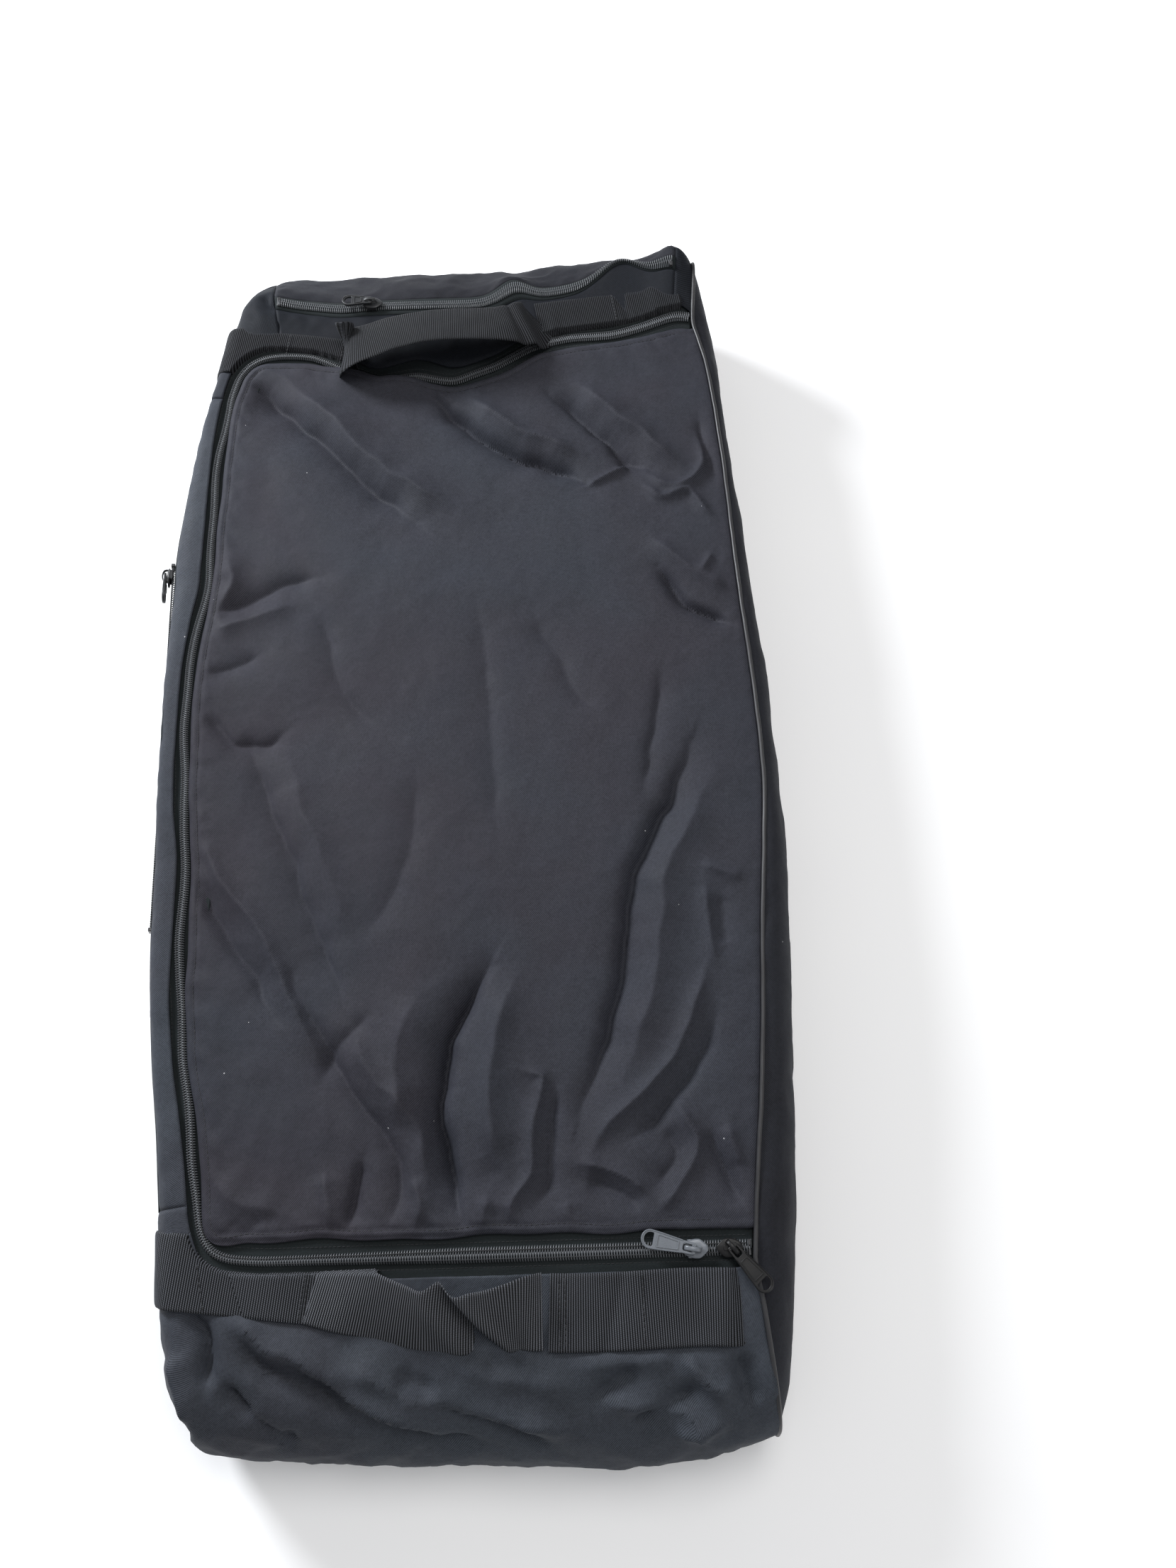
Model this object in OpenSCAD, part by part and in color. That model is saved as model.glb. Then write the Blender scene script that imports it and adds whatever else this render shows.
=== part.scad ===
// Large soft-sided hockey equipment bag, empty and lying on its back panel.
// The skin is a ring of cut fabric pieces round a zipped front flap. Each ring
// station has an inner point on the zip (or on the piping) and an outer point on
// the outline, and every fabric piece is a run of stations and section angles.

/* [Fabric] */
// Thickness of the coated fabric with its seam allowance
fabric_t = 1.8; // [1.4:0.1:2.0]
// Height of the flat front panel above the floor
front_z = 104.4; // [100:0.1:110]
// How far the sides curl in under the bag to the back seam
under_curl = 25; // [20:1:30]
// Roundness of the shoulders, 2 is a circle and more is squarer
shoulder_p = 2.6; // [2.2:0.1:3]

/* [Main zip] */
// Gap between the two coil rows, which the slider post passes through
row_gap = 2.6; // [2.6:0.1:3]
// Width of one coil row
row_w = 3.5; // [3:0.1:3.5]
// Height of the coil above its tape
row_h = 3; // [2.6:0.1:3]
// Thickness of the zip tape
tape_t = 1; // [0.8:0.1:1]
// Tape showing on the flap side of the zip centre
flap_show = 15.5; // [14.5:0.5:16]
// Tape hidden under each fabric edge
tape_under = 6; // [4:1:6]
// Position of the left slider along the bottom run
left_slider_x = 170; // [165:1:170]
// Position of the right slider along the bottom run
right_slider_x = 194; // [193:1:195]

/* [Webbing] */
// Width of the webbing
web_w = 50; // [48:1:50]
// Thickness of the webbing
web_t = 1.8; // [1.6:0.1:2]
// Height of the top handle's arch over the panel
top_arch = 30; // [25:1:34]
// Height of the bottom handle's arch over the panel
bottom_arch = 17; // [14:1:20]

/* [Sliders] */
// Length of a slider body
slider_l = 18; // [17:1:18]
// Half width of a slider body
slider_hw = 6.6; // [6.4:0.1:6.8]
// Length of a pull from its pivot to its tip
pull_l = 36; // [32:1:37]
// Radius of the pull's crossbar
bar_r = 1.2; // [1.1:0.05:1.3]
// Half height of the slot under the bail
eye_r = 1.55; // [1.5:0.05:1.6]

/* [Hidden] */
$fn = 48;
centre_x = 3.1; // puts the middle of the whole width at x = 0
NAVY = [0.09, 0.095, 0.11];
BLACK = [0.04, 0.04, 0.045];
GREY = [0.36, 0.38, 0.41];

// Stations: [inner x, inner y, outer x, outer y, tape showing, shoulder depth (0 = whole width), equator height]
BOTTOM = [[212, -391, 221, -500, 4, 0, 40], [190, -384, 190, -517, 13.5, 110, 32], [130, -384, 130, -523, 13.5, 118, 30],
    [60, -384, 60, -526, 13.5, 120, 30], [-10, -384, -10, -525, 13.5, 119, 30], [-80, -384, -88, -521, 13.5, 114, 30],
    [-135, -384, -150, -515, 13.5, 108, 32], [-158, -382, -180, -507, 12.5, 96, 36], [-170, -377, -200, -488, 11, 84, 40],
    [-177, -367, -212, -448, 9, 60, 43], [-180, -357, -218, -400, 8, 38, 45]];
LEFT = [[-180, -357, -218, -400, 8, 38, 45], [-182, -345, -223, -350, 7, 28, 45], [-190, -300, -232, -300, 7, 28, 45],
    [-202, -245, -240, -245, 7, 28, 45], [-209, -190, -246, -190, 7, 28, 45], [-211, -140, -251, -140, 7, 28, 45],
    [-213, -90, -253, -90, 7, 28, 45], [-220, -40, -255, -40, 7, 27, 45], [-223, 20, -257.3, 20, 7, 26, 45],
    [-224, 75, -259.5, 75, 7, 27, 45], [-221, 125, -261.4, 125, 7, 28, 45], [-217, 160, -262.8, 160, 7, 28, 45],
    [-217, 190, -264, 190, 7, 28, 45], [-217, 240, -260, 240, 7, 28, 45], [-216, 300, -252, 300, 7, 27, 45],
    [-212, 350, -243, 352, 7, 23, 45], [-206, 377, -234, 396, 8, 24, 45]];
TOP = [[-206, 377, -234, 396, 8, 24, 45], [-197, 390, -226, 450, 10, 46, 45], [-184, 397, -214, 490, 12, 72, 45],
    [-167, 397.5, -190, 514, 13.5, 92, 45], [-140, 394, -140, 522, 13.5, 105, 45], [-110, 382.5, -110, 524, 13.5, 112, 45],
    [-78, 369, -75, 526, 13.5, 112, 45], [-42, 377, -40, 526, 13.5, 112, 45], [-8, 368, -5, 526, 13.5, 112, 45],
    [30, 378.5, 30, 526, 13.5, 112, 45], [65, 401, 65, 526, 13.5, 100, 45], [100, 410, 100, 525, 13.5, 90, 45],
    [140, 415, 140, 523, 13.5, 82, 45], [173, 423, 177, 520, 13.5, 72, 45], [198, 431, 203, 511, 12, 60, 45],
    [216, 426, 219, 498, 6, 0, 45]];
RIGHT = [[216, 426, 219, 498, 0, 0, 45], [220, 405, 237, 440, 0, 0, 45], [226, 375, 240, 378, 0, 0, 45],
    [231, 320, 242, 320, 0, 0, 45], [235, 254, 246, 254, 0, 0, 45], [237, 192, 252, 192, 0, 0, 45],
    [240, 130, 257, 130, 0, 0, 45], [245, 50, 262, 50, 0, 0, 45], [247, -20, 264, -20, 0, 0, 45],
    [243, -80, 264, -80, 0, 0, 45], [236, -150, 262, -150, 0, 0, 45], [231, -218, 258, -218, 0, 0, 45],
    [225, -281, 255, -281, 0, 0, 45], [218, -335, 250, -344, 0, 0, 45], [214, -370, 246, -395, 0, 0, 45],
    [213, -380, 241, -440, 0, 0, 43], [212.5, -386, 233, -476, 0, 0, 41], [212, -391, 221, -500, 0, 0, 40]];

// Section angles. Zip bands: side 48 to 22, end 80 to 70. Below 0 is the curl under the bag.
ANG = [90.5, 90, 85, 80, 70, 48, 22, 10, 0, -25, -50, -72, -90];
N_ANG = len(ANG);

function unit2(v) = v / norm(v);
function reach(s) = norm([s[2] - s[0], s[3] - s[1]]);
function out_dir(s) = unit2([s[2] - s[0], s[3] - s[1]]);
function depth(s) = s[5] == 0 ? reach(s) - s[4] - 0.5 : min(s[5], reach(s) - s[4] - 6);
// [distance out from the inner point, height, outward normal in the section]
function section(s, a) = let (d = depth(s), r = reach(s), h = front_z - s[6], e = 2 / shoulder_p)
    a > 90 ? [s[4], front_z, 0, 1]
    : a >= 0 ? let (u = pow(max(0, cos(a)), e), w = pow(max(0, sin(a)), e), n = unit2([pow(u, shoulder_p - 1) / d + 1e-9, pow(w, shoulder_p - 1) / h + 1e-9]))
        [r - d * (1 - u), s[6] + h * w, n[0], n[1]]
    : let (u = cos(a), w = sin(a), n = a == -90 ? [0, -1] : unit2([u / under_curl, w / s[6]]))
        [r - under_curl * (1 - u), s[6] + s[6] * w, n[0], n[1]];
function skin_pt(s, a, t) = let (p = section(s, a), q = out_dir(s), d = p[0] - t * p[2])
    [s[0] + q[0] * d, s[1] + q[1] * d, p[1] - t * p[3]];

// A thick sheet from two grids of points, rows by columns, with rims
module sheet(outer, inner) {
    nr = len(outer); nc = len(outer[0]); m = nr * nc;
    pts = concat([for (r = outer) each r], [for (r = inner) each r]);
    function id(i, j) = i * nc + j;
    faces = concat(
        [for (i = [0:nr - 2], j = [0:nc - 2]) each [[id(i, j), id(i, j + 1), id(i + 1, j + 1)], [id(i, j), id(i + 1, j + 1), id(i + 1, j)]]],
        [for (i = [0:nr - 2], j = [0:nc - 2]) each [[m + id(i, j), m + id(i + 1, j + 1), m + id(i, j + 1)], [m + id(i, j), m + id(i + 1, j), m + id(i + 1, j + 1)]]],
        [for (i = [0:nr - 2]) each [[id(i, 0), id(i + 1, 0), m + id(i + 1, 0)], [id(i, 0), m + id(i + 1, 0), m + id(i, 0)],
            [id(i + 1, nc - 1), id(i, nc - 1), m + id(i, nc - 1)], [id(i + 1, nc - 1), m + id(i, nc - 1), m + id(i + 1, nc - 1)]]],
        [for (j = [0:nc - 2]) each [[id(0, j + 1), id(0, j), m + id(0, j)], [id(0, j + 1), m + id(0, j), m + id(0, j + 1)],
            [id(nr - 1, j), id(nr - 1, j + 1), m + id(nr - 1, j + 1)], [id(nr - 1, j), m + id(nr - 1, j + 1), m + id(nr - 1, j)]]]);
    polyhedron(pts, faces, convexity = 6);
}
// Fabric between stations i0..i1 of a side and section angles c0..c1; t0 and t1 are depths under the outer face
module cloth(side, i0, i1, c0, c1, t0 = 0, t1 = fabric_t)
    sheet([for (i = [i0:i1]) [for (c = [c0:c1]) skin_pt(side[i], ANG[c], t0)]],
        [for (i = [i0:i1]) [for (c = [c0:c1]) skin_pt(side[i], ANG[c], t1)]]);

// The zip route, from the right end of the bottom run, round the left side, to the right end of the top run
ROUTE = concat([[209, -384]], [for (i = [1:len(BOTTOM) - 2]) [BOTTOM[i][0], BOTTOM[i][1]]],
    [for (i = [0:len(LEFT) - 2]) [LEFT[i][0], LEFT[i][1]]], [for (i = [0:len(TOP) - 2]) [TOP[i][0], TOP[i][1]]], [[210, 430]]);
function route_n(i) = let (a = ROUTE[max(0, i - 1)], b = ROUTE[min(len(ROUTE) - 1, i + 1)], d = unit2(b - a)) [-d[1], d[0]];
function off_route(d) = [for (i = [0:len(ROUTE) - 1]) ROUTE[i] + route_n(i) * d]; // positive is outside the flap
function rev(l) = [for (i = [len(l) - 1:-1:0]) l[i]];
function show_at(i) = let (q = route_n(i)) 7 + 6.5 * abs(q[1]);
module along_route(d0, d1, z0, h) translate([0, 0, z0]) linear_extrude(h) polygon(concat(off_route(d0), rev(off_route(d1))));

tape_z = front_z - fabric_t - 0.2 - tape_t;
coil_z = tape_z + tape_t;
right_of = 120; // where the flap's zip is left to the bag beside the parked sliders
module bar_x(x0, x1) translate([x0, -600, 0]) cube([x1 - x0, 300, 300]);

module flap_side_tape() along_route(-row_gap / 2, -(flap_show + tape_under), tape_z, tape_t);
module flap_side_coil() along_route(-row_gap / 2, -row_gap / 2 - row_w, coil_z, row_h);
module flap_zip_tape() color(BLACK) difference() { flap_side_tape(); bar_x(right_of - 1, 400); translate([fold_x - 1, 300, 0]) cube([50, 300, 300]); }
module flap_zip_coil() color(BLACK) difference() { flap_side_coil(); bar_x(right_of - 1, 400); translate([fold_x - 1, 300, 0]) cube([50, 300, 300]); }
module zip_end_tape() color(BLACK) intersection() { flap_side_tape(); bar_x(right_of, 208.5); }
module zip_end_coil() color(BLACK) intersection() { flap_side_coil(); bar_x(right_of, 207); }
module body_zip_tape() color(BLACK) translate([0, 0, tape_z]) linear_extrude(tape_t) polygon(concat(off_route(row_gap / 2),
    rev([for (i = [0:len(ROUTE) - 1]) ROUTE[i] + route_n(i) * (show_at(i) + (abs(route_n(i)[1]) > 0.9 ? tape_under : 4))])));
module body_zip_coil() color(BLACK) difference() { along_route(row_gap / 2, row_gap / 2 + row_w, coil_z, row_h); bar_x(207, 400); }
module zip_end_stops() color(GREY) {
    translate([207.3, -384 - 5.2, coil_z]) cube([1.6, 3.8, 3.4]);
    translate([207.3, -384 + 1.4, coil_z]) cube([1.6, 3.8, 3.4]);
}

// The front flap, with a straight right edge beside its fold line
fold_x = 206;
module main_flap() color(NAVY) translate([0, 0, front_z - fabric_t]) linear_extrude(fabric_t)
    polygon(concat([[fold_x - 1, -384 + flap_show]], [for (i = [1:len(ROUTE) - 2]) ROUTE[i] - route_n(i) * flap_show],
        [[fold_x - 1, 430 - flap_show]]));
// The strip of front fabric between the fold line and the piping, which stays down when the flap is open
module hinge_margin() color(NAVY) translate([0, 0, front_z - fabric_t]) linear_extrude(fabric_t)
    polygon(concat([[fold_x + 0.8, -368.5], [fold_x + 0.8, 414], [217.6, 414]], [for (i = [1:14]) [RIGHT[i][0] - 0.3, RIGHT[i][1]]]));

module back_panel() color(NAVY) linear_extrude(fabric_t) polygon(concat(back_line(BOTTOM), back_line(LEFT), back_line(TOP), back_line(RIGHT)));
function back_line(side) = [for (i = [0:len(side) - 2]) let (p = skin_pt(side[i], -90, 0)) [p[0], p[1]]];
module front_bottom_panel() color(NAVY) { cloth(BOTTOM, 0, 10, 0, 8); }
module bottom_end_panel() color(NAVY) { cloth(BOTTOM, 0, 8, 8, 12); }
module left_gusset_lower_end() color(NAVY) { cloth(BOTTOM, 8, 10, 8, 12); cloth(LEFT, 0, 1, 0, 12); }
module left_side_strip() color(NAVY) cloth(LEFT, 1, 15, 0, 5);
module side_pocket_panel() color(NAVY) cloth(LEFT, 1, 15, 6, 12);
module side_zip_tape() color(BLACK) cloth(LEFT, 1, 15, 5, 6, 0.4, 1.4);
module left_gusset_upper_end() color(NAVY) { cloth(LEFT, 15, 16, 0, 12); cloth(TOP, 0, 2, 5, 12); }
module front_top_panel() color(NAVY) { cloth(TOP, 0, 3, 0, 5); cloth(TOP, 3, 14, 0, 3); cloth(TOP, 14, 15, 0, 8); }
module end_zip_tape() color(BLACK) cloth(TOP, 3, 14, 3, 4, 0.4, 1.4);
module end_pocket_panel() color(NAVY) cloth(TOP, 3, 14, 4, 12);
module top_end_corners() color(NAVY) { cloth(TOP, 2, 3, 5, 12); cloth(TOP, 14, 15, 8, 12); }
module right_gusset() color(NAVY) cloth(RIGHT, 0, 17, 1, 12);

// Pocket bags: thin lining lying flat behind the panel while the pocket is empty
module side_pocket_lining() color(BLACK) cloth(LEFT, 2, 14, 3, 10, fabric_t + 0.5, fabric_t + 1.3);
module end_pocket_lining() color(BLACK) cloth(TOP, 4, 12, 2, 10, fabric_t + 0.5, fabric_t + 1.3);
// Bound seam allowance inside, round the back seam
module seam_binding() color(BLACK) {
    cloth(BOTTOM, 1, 7, 11, 12, fabric_t + 0.1, fabric_t + 1.1);
    cloth(LEFT, 1, 15, 11, 12, fabric_t + 0.1, fabric_t + 1.1);
    cloth(TOP, 3, 13, 11, 12, fabric_t + 0.1, fabric_t + 1.1);
    cloth(RIGHT, 2, 14, 11, 12, fabric_t + 0.1, fabric_t + 1.1);
}

// A round cord swept along a line of points
module cord(pts, r, n = 8) {
    m = len(pts);
    function dir(i) = let (v = pts[min(m - 1, i + 1)] - pts[max(0, i - 1)]) v / norm(v);
    function ring(i) = let (d = dir(i), a = cross(d, [0.3, 0.1, 1]), u = a / norm(a), v = cross(d, u))
        [for (k = [0:n - 1]) pts[i] + r * (u * cos(360 * k / n) + v * sin(360 * k / n))];
    polyhedron(concat([for (i = [0:m - 1]) each ring(i)]), concat(
        [for (i = [0:m - 2], k = [0:n - 1]) let (l = (k + 1) % n) each [[i * n + k, i * n + l, (i + 1) * n + l], [i * n + k, (i + 1) * n + l, (i + 1) * n + k]]],
        [[for (k = [n - 1:-1:0]) k]], [[for (k = [0:n - 1]) (m - 1) * n + k]]), convexity = 8);
}
pipe_r = 2.4;
module right_piping() color(BLACK) cord(concat(
    [for (a = [10, 22, 48, 55, 66, 78]) skin_pt(TOP[15], a, -pipe_r - 0.4)],
    [for (i = [0:17]) [RIGHT[i][0], RIGHT[i][1], front_z + pipe_r + 0.3]],
    [for (a = [78, 66, 55, 48, 22, 10]) skin_pt(BOTTOM[0], a, -pipe_r - 0.4)]), pipe_r);
module back_piping() color(BLACK) cord([for (i = [1:16]) skin_pt(RIGHT[i], -50, -3.1)], 2.1);

// Zip slider, its coil running along X, origin at the zip centre on top of the tape; the nose faces +X
module slider_body(bail_turn = 0) {
    top = row_h + 0.4;
    difference() {
        union() {
            translate([-slider_l / 2, -slider_hw, top]) cube([slider_l, 2 * slider_hw, 1.6]);
            for (s = [-1, 1]) translate([-slider_l / 2, s > 0 ? slider_hw - 1.4 : -slider_hw, 0.4]) cube([slider_l, 1.4, top]);
            translate([-slider_l / 2, -slider_hw, -tape_t - 1.8]) cube([slider_l, 2 * slider_hw, 1.4]);
            translate([slider_l / 2 - 5, -row_gap / 2 + 0.3, -tape_t - 1.8]) cube([4.4, row_gap - 0.6, top + tape_t + 2.4]);
            translate([-2, 0, top + 1.2]) rotate([0, 0, bail_turn]) translate([-5, -1.5, 0]) cube([10, 3, 5.2]);
        }
        translate([-2, 0, top + 4]) rotate([0, 0, bail_turn]) cube([7, 8, 2 * eye_r], center = true);
        for (s = [-1, 1]) translate([slider_l / 2 - 1, s * (slider_hw + 1), top + 1]) rotate([0, 0, s * 28]) cube([9, 5, 6], center = true);
    }
}
pivot_up = row_h + 0.4 + 4; // height of the pull's pivot over the tape
function arc(c, r, a0, a1, n) = [for (k = [0:n]) c + r * [cos(a0 + (a1 - a0) * k / n), sin(a0 + (a1 - a0) * k / n)]];
// Pull tab reaching along -X from its crossbar at the origin
module pull_tab(l = pull_l) {
    difference() {
        translate([0, 0, -1]) linear_extrude(2) polygon(concat([[1, 4.8], [1.9, 4], [1.9, -4], [1, -4.8]], arc([-l + 6.4, 0], 6.4, 264, 96, 14)));
        translate([-6, -2.3, -2]) cube([9, 4.6, 4]);
        translate([0, 0, -2]) linear_extrude(4) polygon(concat(arc([-l + 6.4, 0], 4.4, 250, 110, 10)));
        translate([-l + 14, -3.2, 0.6]) cube([11, 6.4, 2]);
    }
    rotate([90, 0, 0]) cylinder(r = bar_r, h = 6.4, center = true);
}
module at_left() translate([left_slider_x, -384, coil_z]) children();
module at_right() translate([right_slider_x, -384, coil_z]) mirror([1, 0, 0]) children();
left_turn = 10; right_turn = 130;
module left_slider() color(GREY) at_left() slider_body(-left_turn);
module left_pull() color(GREY) translate([left_slider_x - 2, -384, coil_z + pivot_up]) rotate([0, 0, -left_turn]) rotate([0, -4, 0]) pull_tab();
module right_slider() color(BLACK) at_right() slider_body(180 - right_turn);
module right_pull() color(BLACK) translate([right_slider_x + 2, -384, coil_z + pivot_up]) rotate([0, 0, right_turn]) rotate([0, 5, 0]) pull_tab();

// Side pocket zip: straight along the left side between these two points of its band
function mid_pt(s, a, b, lift) = let (p = skin_pt(s, a, -lift), q = skin_pt(s, b, -lift)) (p + q) / 2;
side_a = mid_pt(LEFT[5], 48, 22, 0); side_b = mid_pt(LEFT[12], 48, 22, 0);
side_dir = unit2([side_b[0] - side_a[0], side_b[1] - side_a[1]]);
side_yaw = atan2(side_dir[0], side_dir[1]); // turn of the run from +Y
side_tilt = let (p = skin_pt(LEFT[9], 48, 0), q = skin_pt(LEFT[9], 22, 0)) atan2(p[2] - q[2], p[0] - q[0]);
side_slider_y = 176;
side_out = 1.2;
// Local frame on the side zip at height y: X runs to -Y along the zip, Z points out of the bag
module on_side(y) {
    f = (y - side_a[1]) / (side_b[1] - side_a[1]);
    translate(side_a + (side_b - side_a) * f) rotate([0, 0, -side_yaw]) rotate([0, -side_tilt, 0]) rotate([0, 0, -90])
        translate([0, 0, side_out]) children();
}
module side_zip_coil() color(BLACK) on_side(16) for (s = [-1, 1]) translate([-169.6, s > 0 ? row_gap / 2 : -row_gap / 2 - row_w, 0]) cube([324, row_w, row_h]);
module side_slider() color(GREY) on_side(side_slider_y) side_slider_shape();
module side_slider_shape() difference() { slider_body(); translate([-20, -20, -20]) cube([40, 40, 20]); }
module side_pull() color(GREY) on_side(side_slider_y) translate([-2, 0, pivot_up]) rotate([0, 0, 180]) pull_tab(26);
module side_zip_stops() color(GREY) { on_side(16) translate([154.6, -4.8, 0]) cube([3, 9.6, 3.4]); on_side(16) translate([-172.8, -4.8, 0]) cube([3, 9.6, 3.4]); }

// End pocket zip: straight across the top end
end_p = mid_pt(TOP[7], 80, 70, 0);
end_tilt = let (p = skin_pt(TOP[7], 80, 0), q = skin_pt(TOP[7], 70, 0)) atan2(p[2] - q[2], q[1] - p[1]);
module on_end(x) translate([x, end_p[1], end_p[2]]) rotate([-end_tilt, 0, 0]) translate([0, 0, 0.6]) children();
end_slider_x = -85;
module end_zip_coil() color(BLACK) on_end(0) for (s = [-1, 1]) translate([-136, s > 0 ? row_gap / 2 : -row_gap / 2 - row_w, 0]) cube([166, row_w, row_h]);
module end_slider() color(GREY) on_end(end_slider_x) side_slider_shape();
module end_pull() color(GREY) on_end(end_slider_x) translate([-2, 0, pivot_up]) pull_tab(26);
module end_zip_stops() color(GREY) { on_end(0) translate([-140, -4.8, 0]) cube([3, 9.6, 3.4]); on_end(0) translate([31, -4.8, 0]) cube([3, 9.6, 3.4]); }

// A ribbon of webbing, width across, along a line of [x, z] points in its own frame
module ribbon(pts, w, t) {
    function dn(i) = let (d = unit2(pts[min(len(pts) - 1, i + 1)] - pts[max(0, i - 1)])) [-d[1], d[0]];
    translate([0, w / 2, 0]) rotate([90, 0, 0]) linear_extrude(w) polygon(concat(pts, rev([for (i = [0:len(pts) - 1]) pts[i] + dn(i) * t])));
}
web_z = front_z + 0.3;
function arch(l, h, n) = [for (k = [0:n]) let (u = k / n) [l * u, h * pow(max(0, sin(180 * u)), 0.7)]];
bottom_y = -422;
handle_x0 = -95; handle_x1 = 70;
module bottom_strap_left() color(BLACK) difference() {
    translate([handle_x0, -400, 0]) rotate([0, 0, -6.5])
        ribbon([[-125.5, 12], [-130, 30], [-131, 45], [-130.6, 65], [-129.6, 75], [-126, 85], [-123.5, 92], [-119.2, 98], [-116.6, 101.5],
            [-112.5, 104.6], [-107, web_z], [0, web_z]], web_w, web_t);
    along_route(-24, 7.2, web_z - 1, web_t + 2);
}
module bottom_strap_right() color(BLACK) translate([0, bottom_y, 0]) ribbon([[handle_x1, web_z], [203, web_z]], web_w, web_t);
module bottom_handle() color(BLACK) translate([handle_x0 + 0.5, bottom_y, web_z + web_t + 0.3])
    ribbon(arch(handle_x1 - handle_x0 - 1, bottom_arch, 16), web_w, web_t);
top_x0 = -104; top_y0 = 405; top_x1 = 71; top_y1 = 429.5;
top_yaw = atan2(top_y1 - top_y0, top_x1 - top_x0);
top_len = norm([top_x1 - top_x0, top_y1 - top_y0]);
// The zip is sewn over the lower edge of each length, so that edge follows the zip
module top_strap_left() color(BLACK) difference() {
    translate([top_x0, 388, 0]) rotate([0, 0, -8.5])
        ribbon([[-126, 12], [-130.4, 30], [-131.8, 45], [-131, 70], [-129, 88], [-125.3, 99.5], [-121.8, 103], [-119, 104.5], [-112, web_z], [0, web_z]],
            web_w, web_t);
    along_route(-24, 6, web_z - 1, web_t + 2);
}
module top_strap_right() color(BLACK) difference() {
    translate([top_x1 + 3, 423, 0]) rotate([0, 0, 8.5]) ribbon([[0, web_z], [130, web_z]], web_w, web_t);
    along_route(-24, 6, web_z - 1, web_t + 2);
}
module top_handle() color(BLACK) translate([top_x0, top_y0, web_z + web_t + 0.3]) rotate([0, 0, top_yaw]) ribbon(arch(top_len, top_arch, 18), web_w, web_t);

// Rows of stitching that hold the webbing, and the topstitching along the fabric edges
module stitch_row(n, pitch, l) for (k = [0:n - 1]) translate([0, (k - (n - 1) / 2) * pitch, 0]) cube([0.9, l, 0.5], center = true);
module bar_tacks() color([0.12, 0.12, 0.13]) {
    z = web_z + web_t + 0.26;
    translate([handle_x0, -400, z]) rotate([0, 0, -6.5]) for (q = [[-6, 8, -2], [-46, 6, -8]]) translate([q[0], q[2], 0]) stitch_row(q[1], 5, 3.4);
    for (x = [handle_x1 + 6, handle_x1 + 60]) translate([x, bottom_y, z]) stitch_row(9, 5, 3.4);
    translate([top_x0, 388, z]) rotate([0, 0, -8.5]) for (q = [[-6, 5, 12.5], [-46, 3, 16]]) translate([q[0], q[2], 0]) stitch_row(q[1], 5, 3.4);
    translate([top_x1 + 3, 423, z]) rotate([0, 0, 8.5]) for (q = [[7, 7, 6.5], [60, 7, 7]]) translate([q[0], q[2], 0]) stitch_row(q[1], 5, 3.4);
}
module edge_topstitch() color([0.12, 0.12, 0.13]) for (k = [0:23]) translate([-128 + k * 12.4, -384 + flap_show + 2.4, front_z + 0.02]) cube([4.2, 0.6, 0.25]);

module place() translate([centre_x, 0, 0]) children();
place() back_panel();
place() front_bottom_panel();
place() front_top_panel();
place() left_side_strip();
place() side_pocket_panel();
place() left_gusset_lower_end();
place() left_gusset_upper_end();
place() right_gusset();
place() bottom_end_panel();
place() end_pocket_panel();
place() top_end_corners();
place() hinge_margin();
place() main_flap();
place() flap_zip_tape();
place() flap_zip_coil();
place() body_zip_tape();
place() body_zip_coil();
place() zip_end_tape();
place() zip_end_coil();
place() zip_end_stops();
place() left_slider();
place() left_pull();
place() right_slider();
place() right_pull();
place() side_zip_tape();
place() side_zip_coil();
place() side_slider();
place() side_pull();
place() side_zip_stops();
place() end_zip_tape();
place() end_zip_coil();
place() end_slider();
place() end_pull();
place() end_zip_stops();
place() right_piping();
place() back_piping();
place() side_pocket_lining();
place() end_pocket_lining();
place() seam_binding();
place() bottom_strap_left();
place() bottom_strap_right();
place() bottom_handle();
place() top_strap_left();
place() top_strap_right();
place() top_handle();
place() bar_tacks();
place() edge_topstitch();
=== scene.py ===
import bpy, bmesh, math
import numpy as np
from mathutils import Vector, Matrix


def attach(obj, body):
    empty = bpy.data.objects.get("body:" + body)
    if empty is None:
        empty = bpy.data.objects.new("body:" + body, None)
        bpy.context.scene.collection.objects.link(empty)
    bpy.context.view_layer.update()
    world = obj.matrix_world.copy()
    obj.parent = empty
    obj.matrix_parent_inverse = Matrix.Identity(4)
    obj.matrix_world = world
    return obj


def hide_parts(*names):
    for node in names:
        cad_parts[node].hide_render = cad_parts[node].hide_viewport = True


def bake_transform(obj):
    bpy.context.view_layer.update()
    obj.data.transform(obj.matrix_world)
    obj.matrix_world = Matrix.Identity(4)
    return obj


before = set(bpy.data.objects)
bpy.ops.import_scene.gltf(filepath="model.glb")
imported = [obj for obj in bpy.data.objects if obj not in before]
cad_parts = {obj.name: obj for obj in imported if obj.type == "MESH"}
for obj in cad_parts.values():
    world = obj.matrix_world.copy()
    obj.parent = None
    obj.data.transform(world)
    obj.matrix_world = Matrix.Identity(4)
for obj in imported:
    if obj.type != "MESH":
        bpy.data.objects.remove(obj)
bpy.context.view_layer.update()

# ---------------------------------------------------------------- sizes, mm, before the centring shift
CX = 3.1
FZ = 104.4                      # flat front height
SP = 2.6                        # shoulder roundness
UC = 25.0                       # curl under the bag
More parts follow.
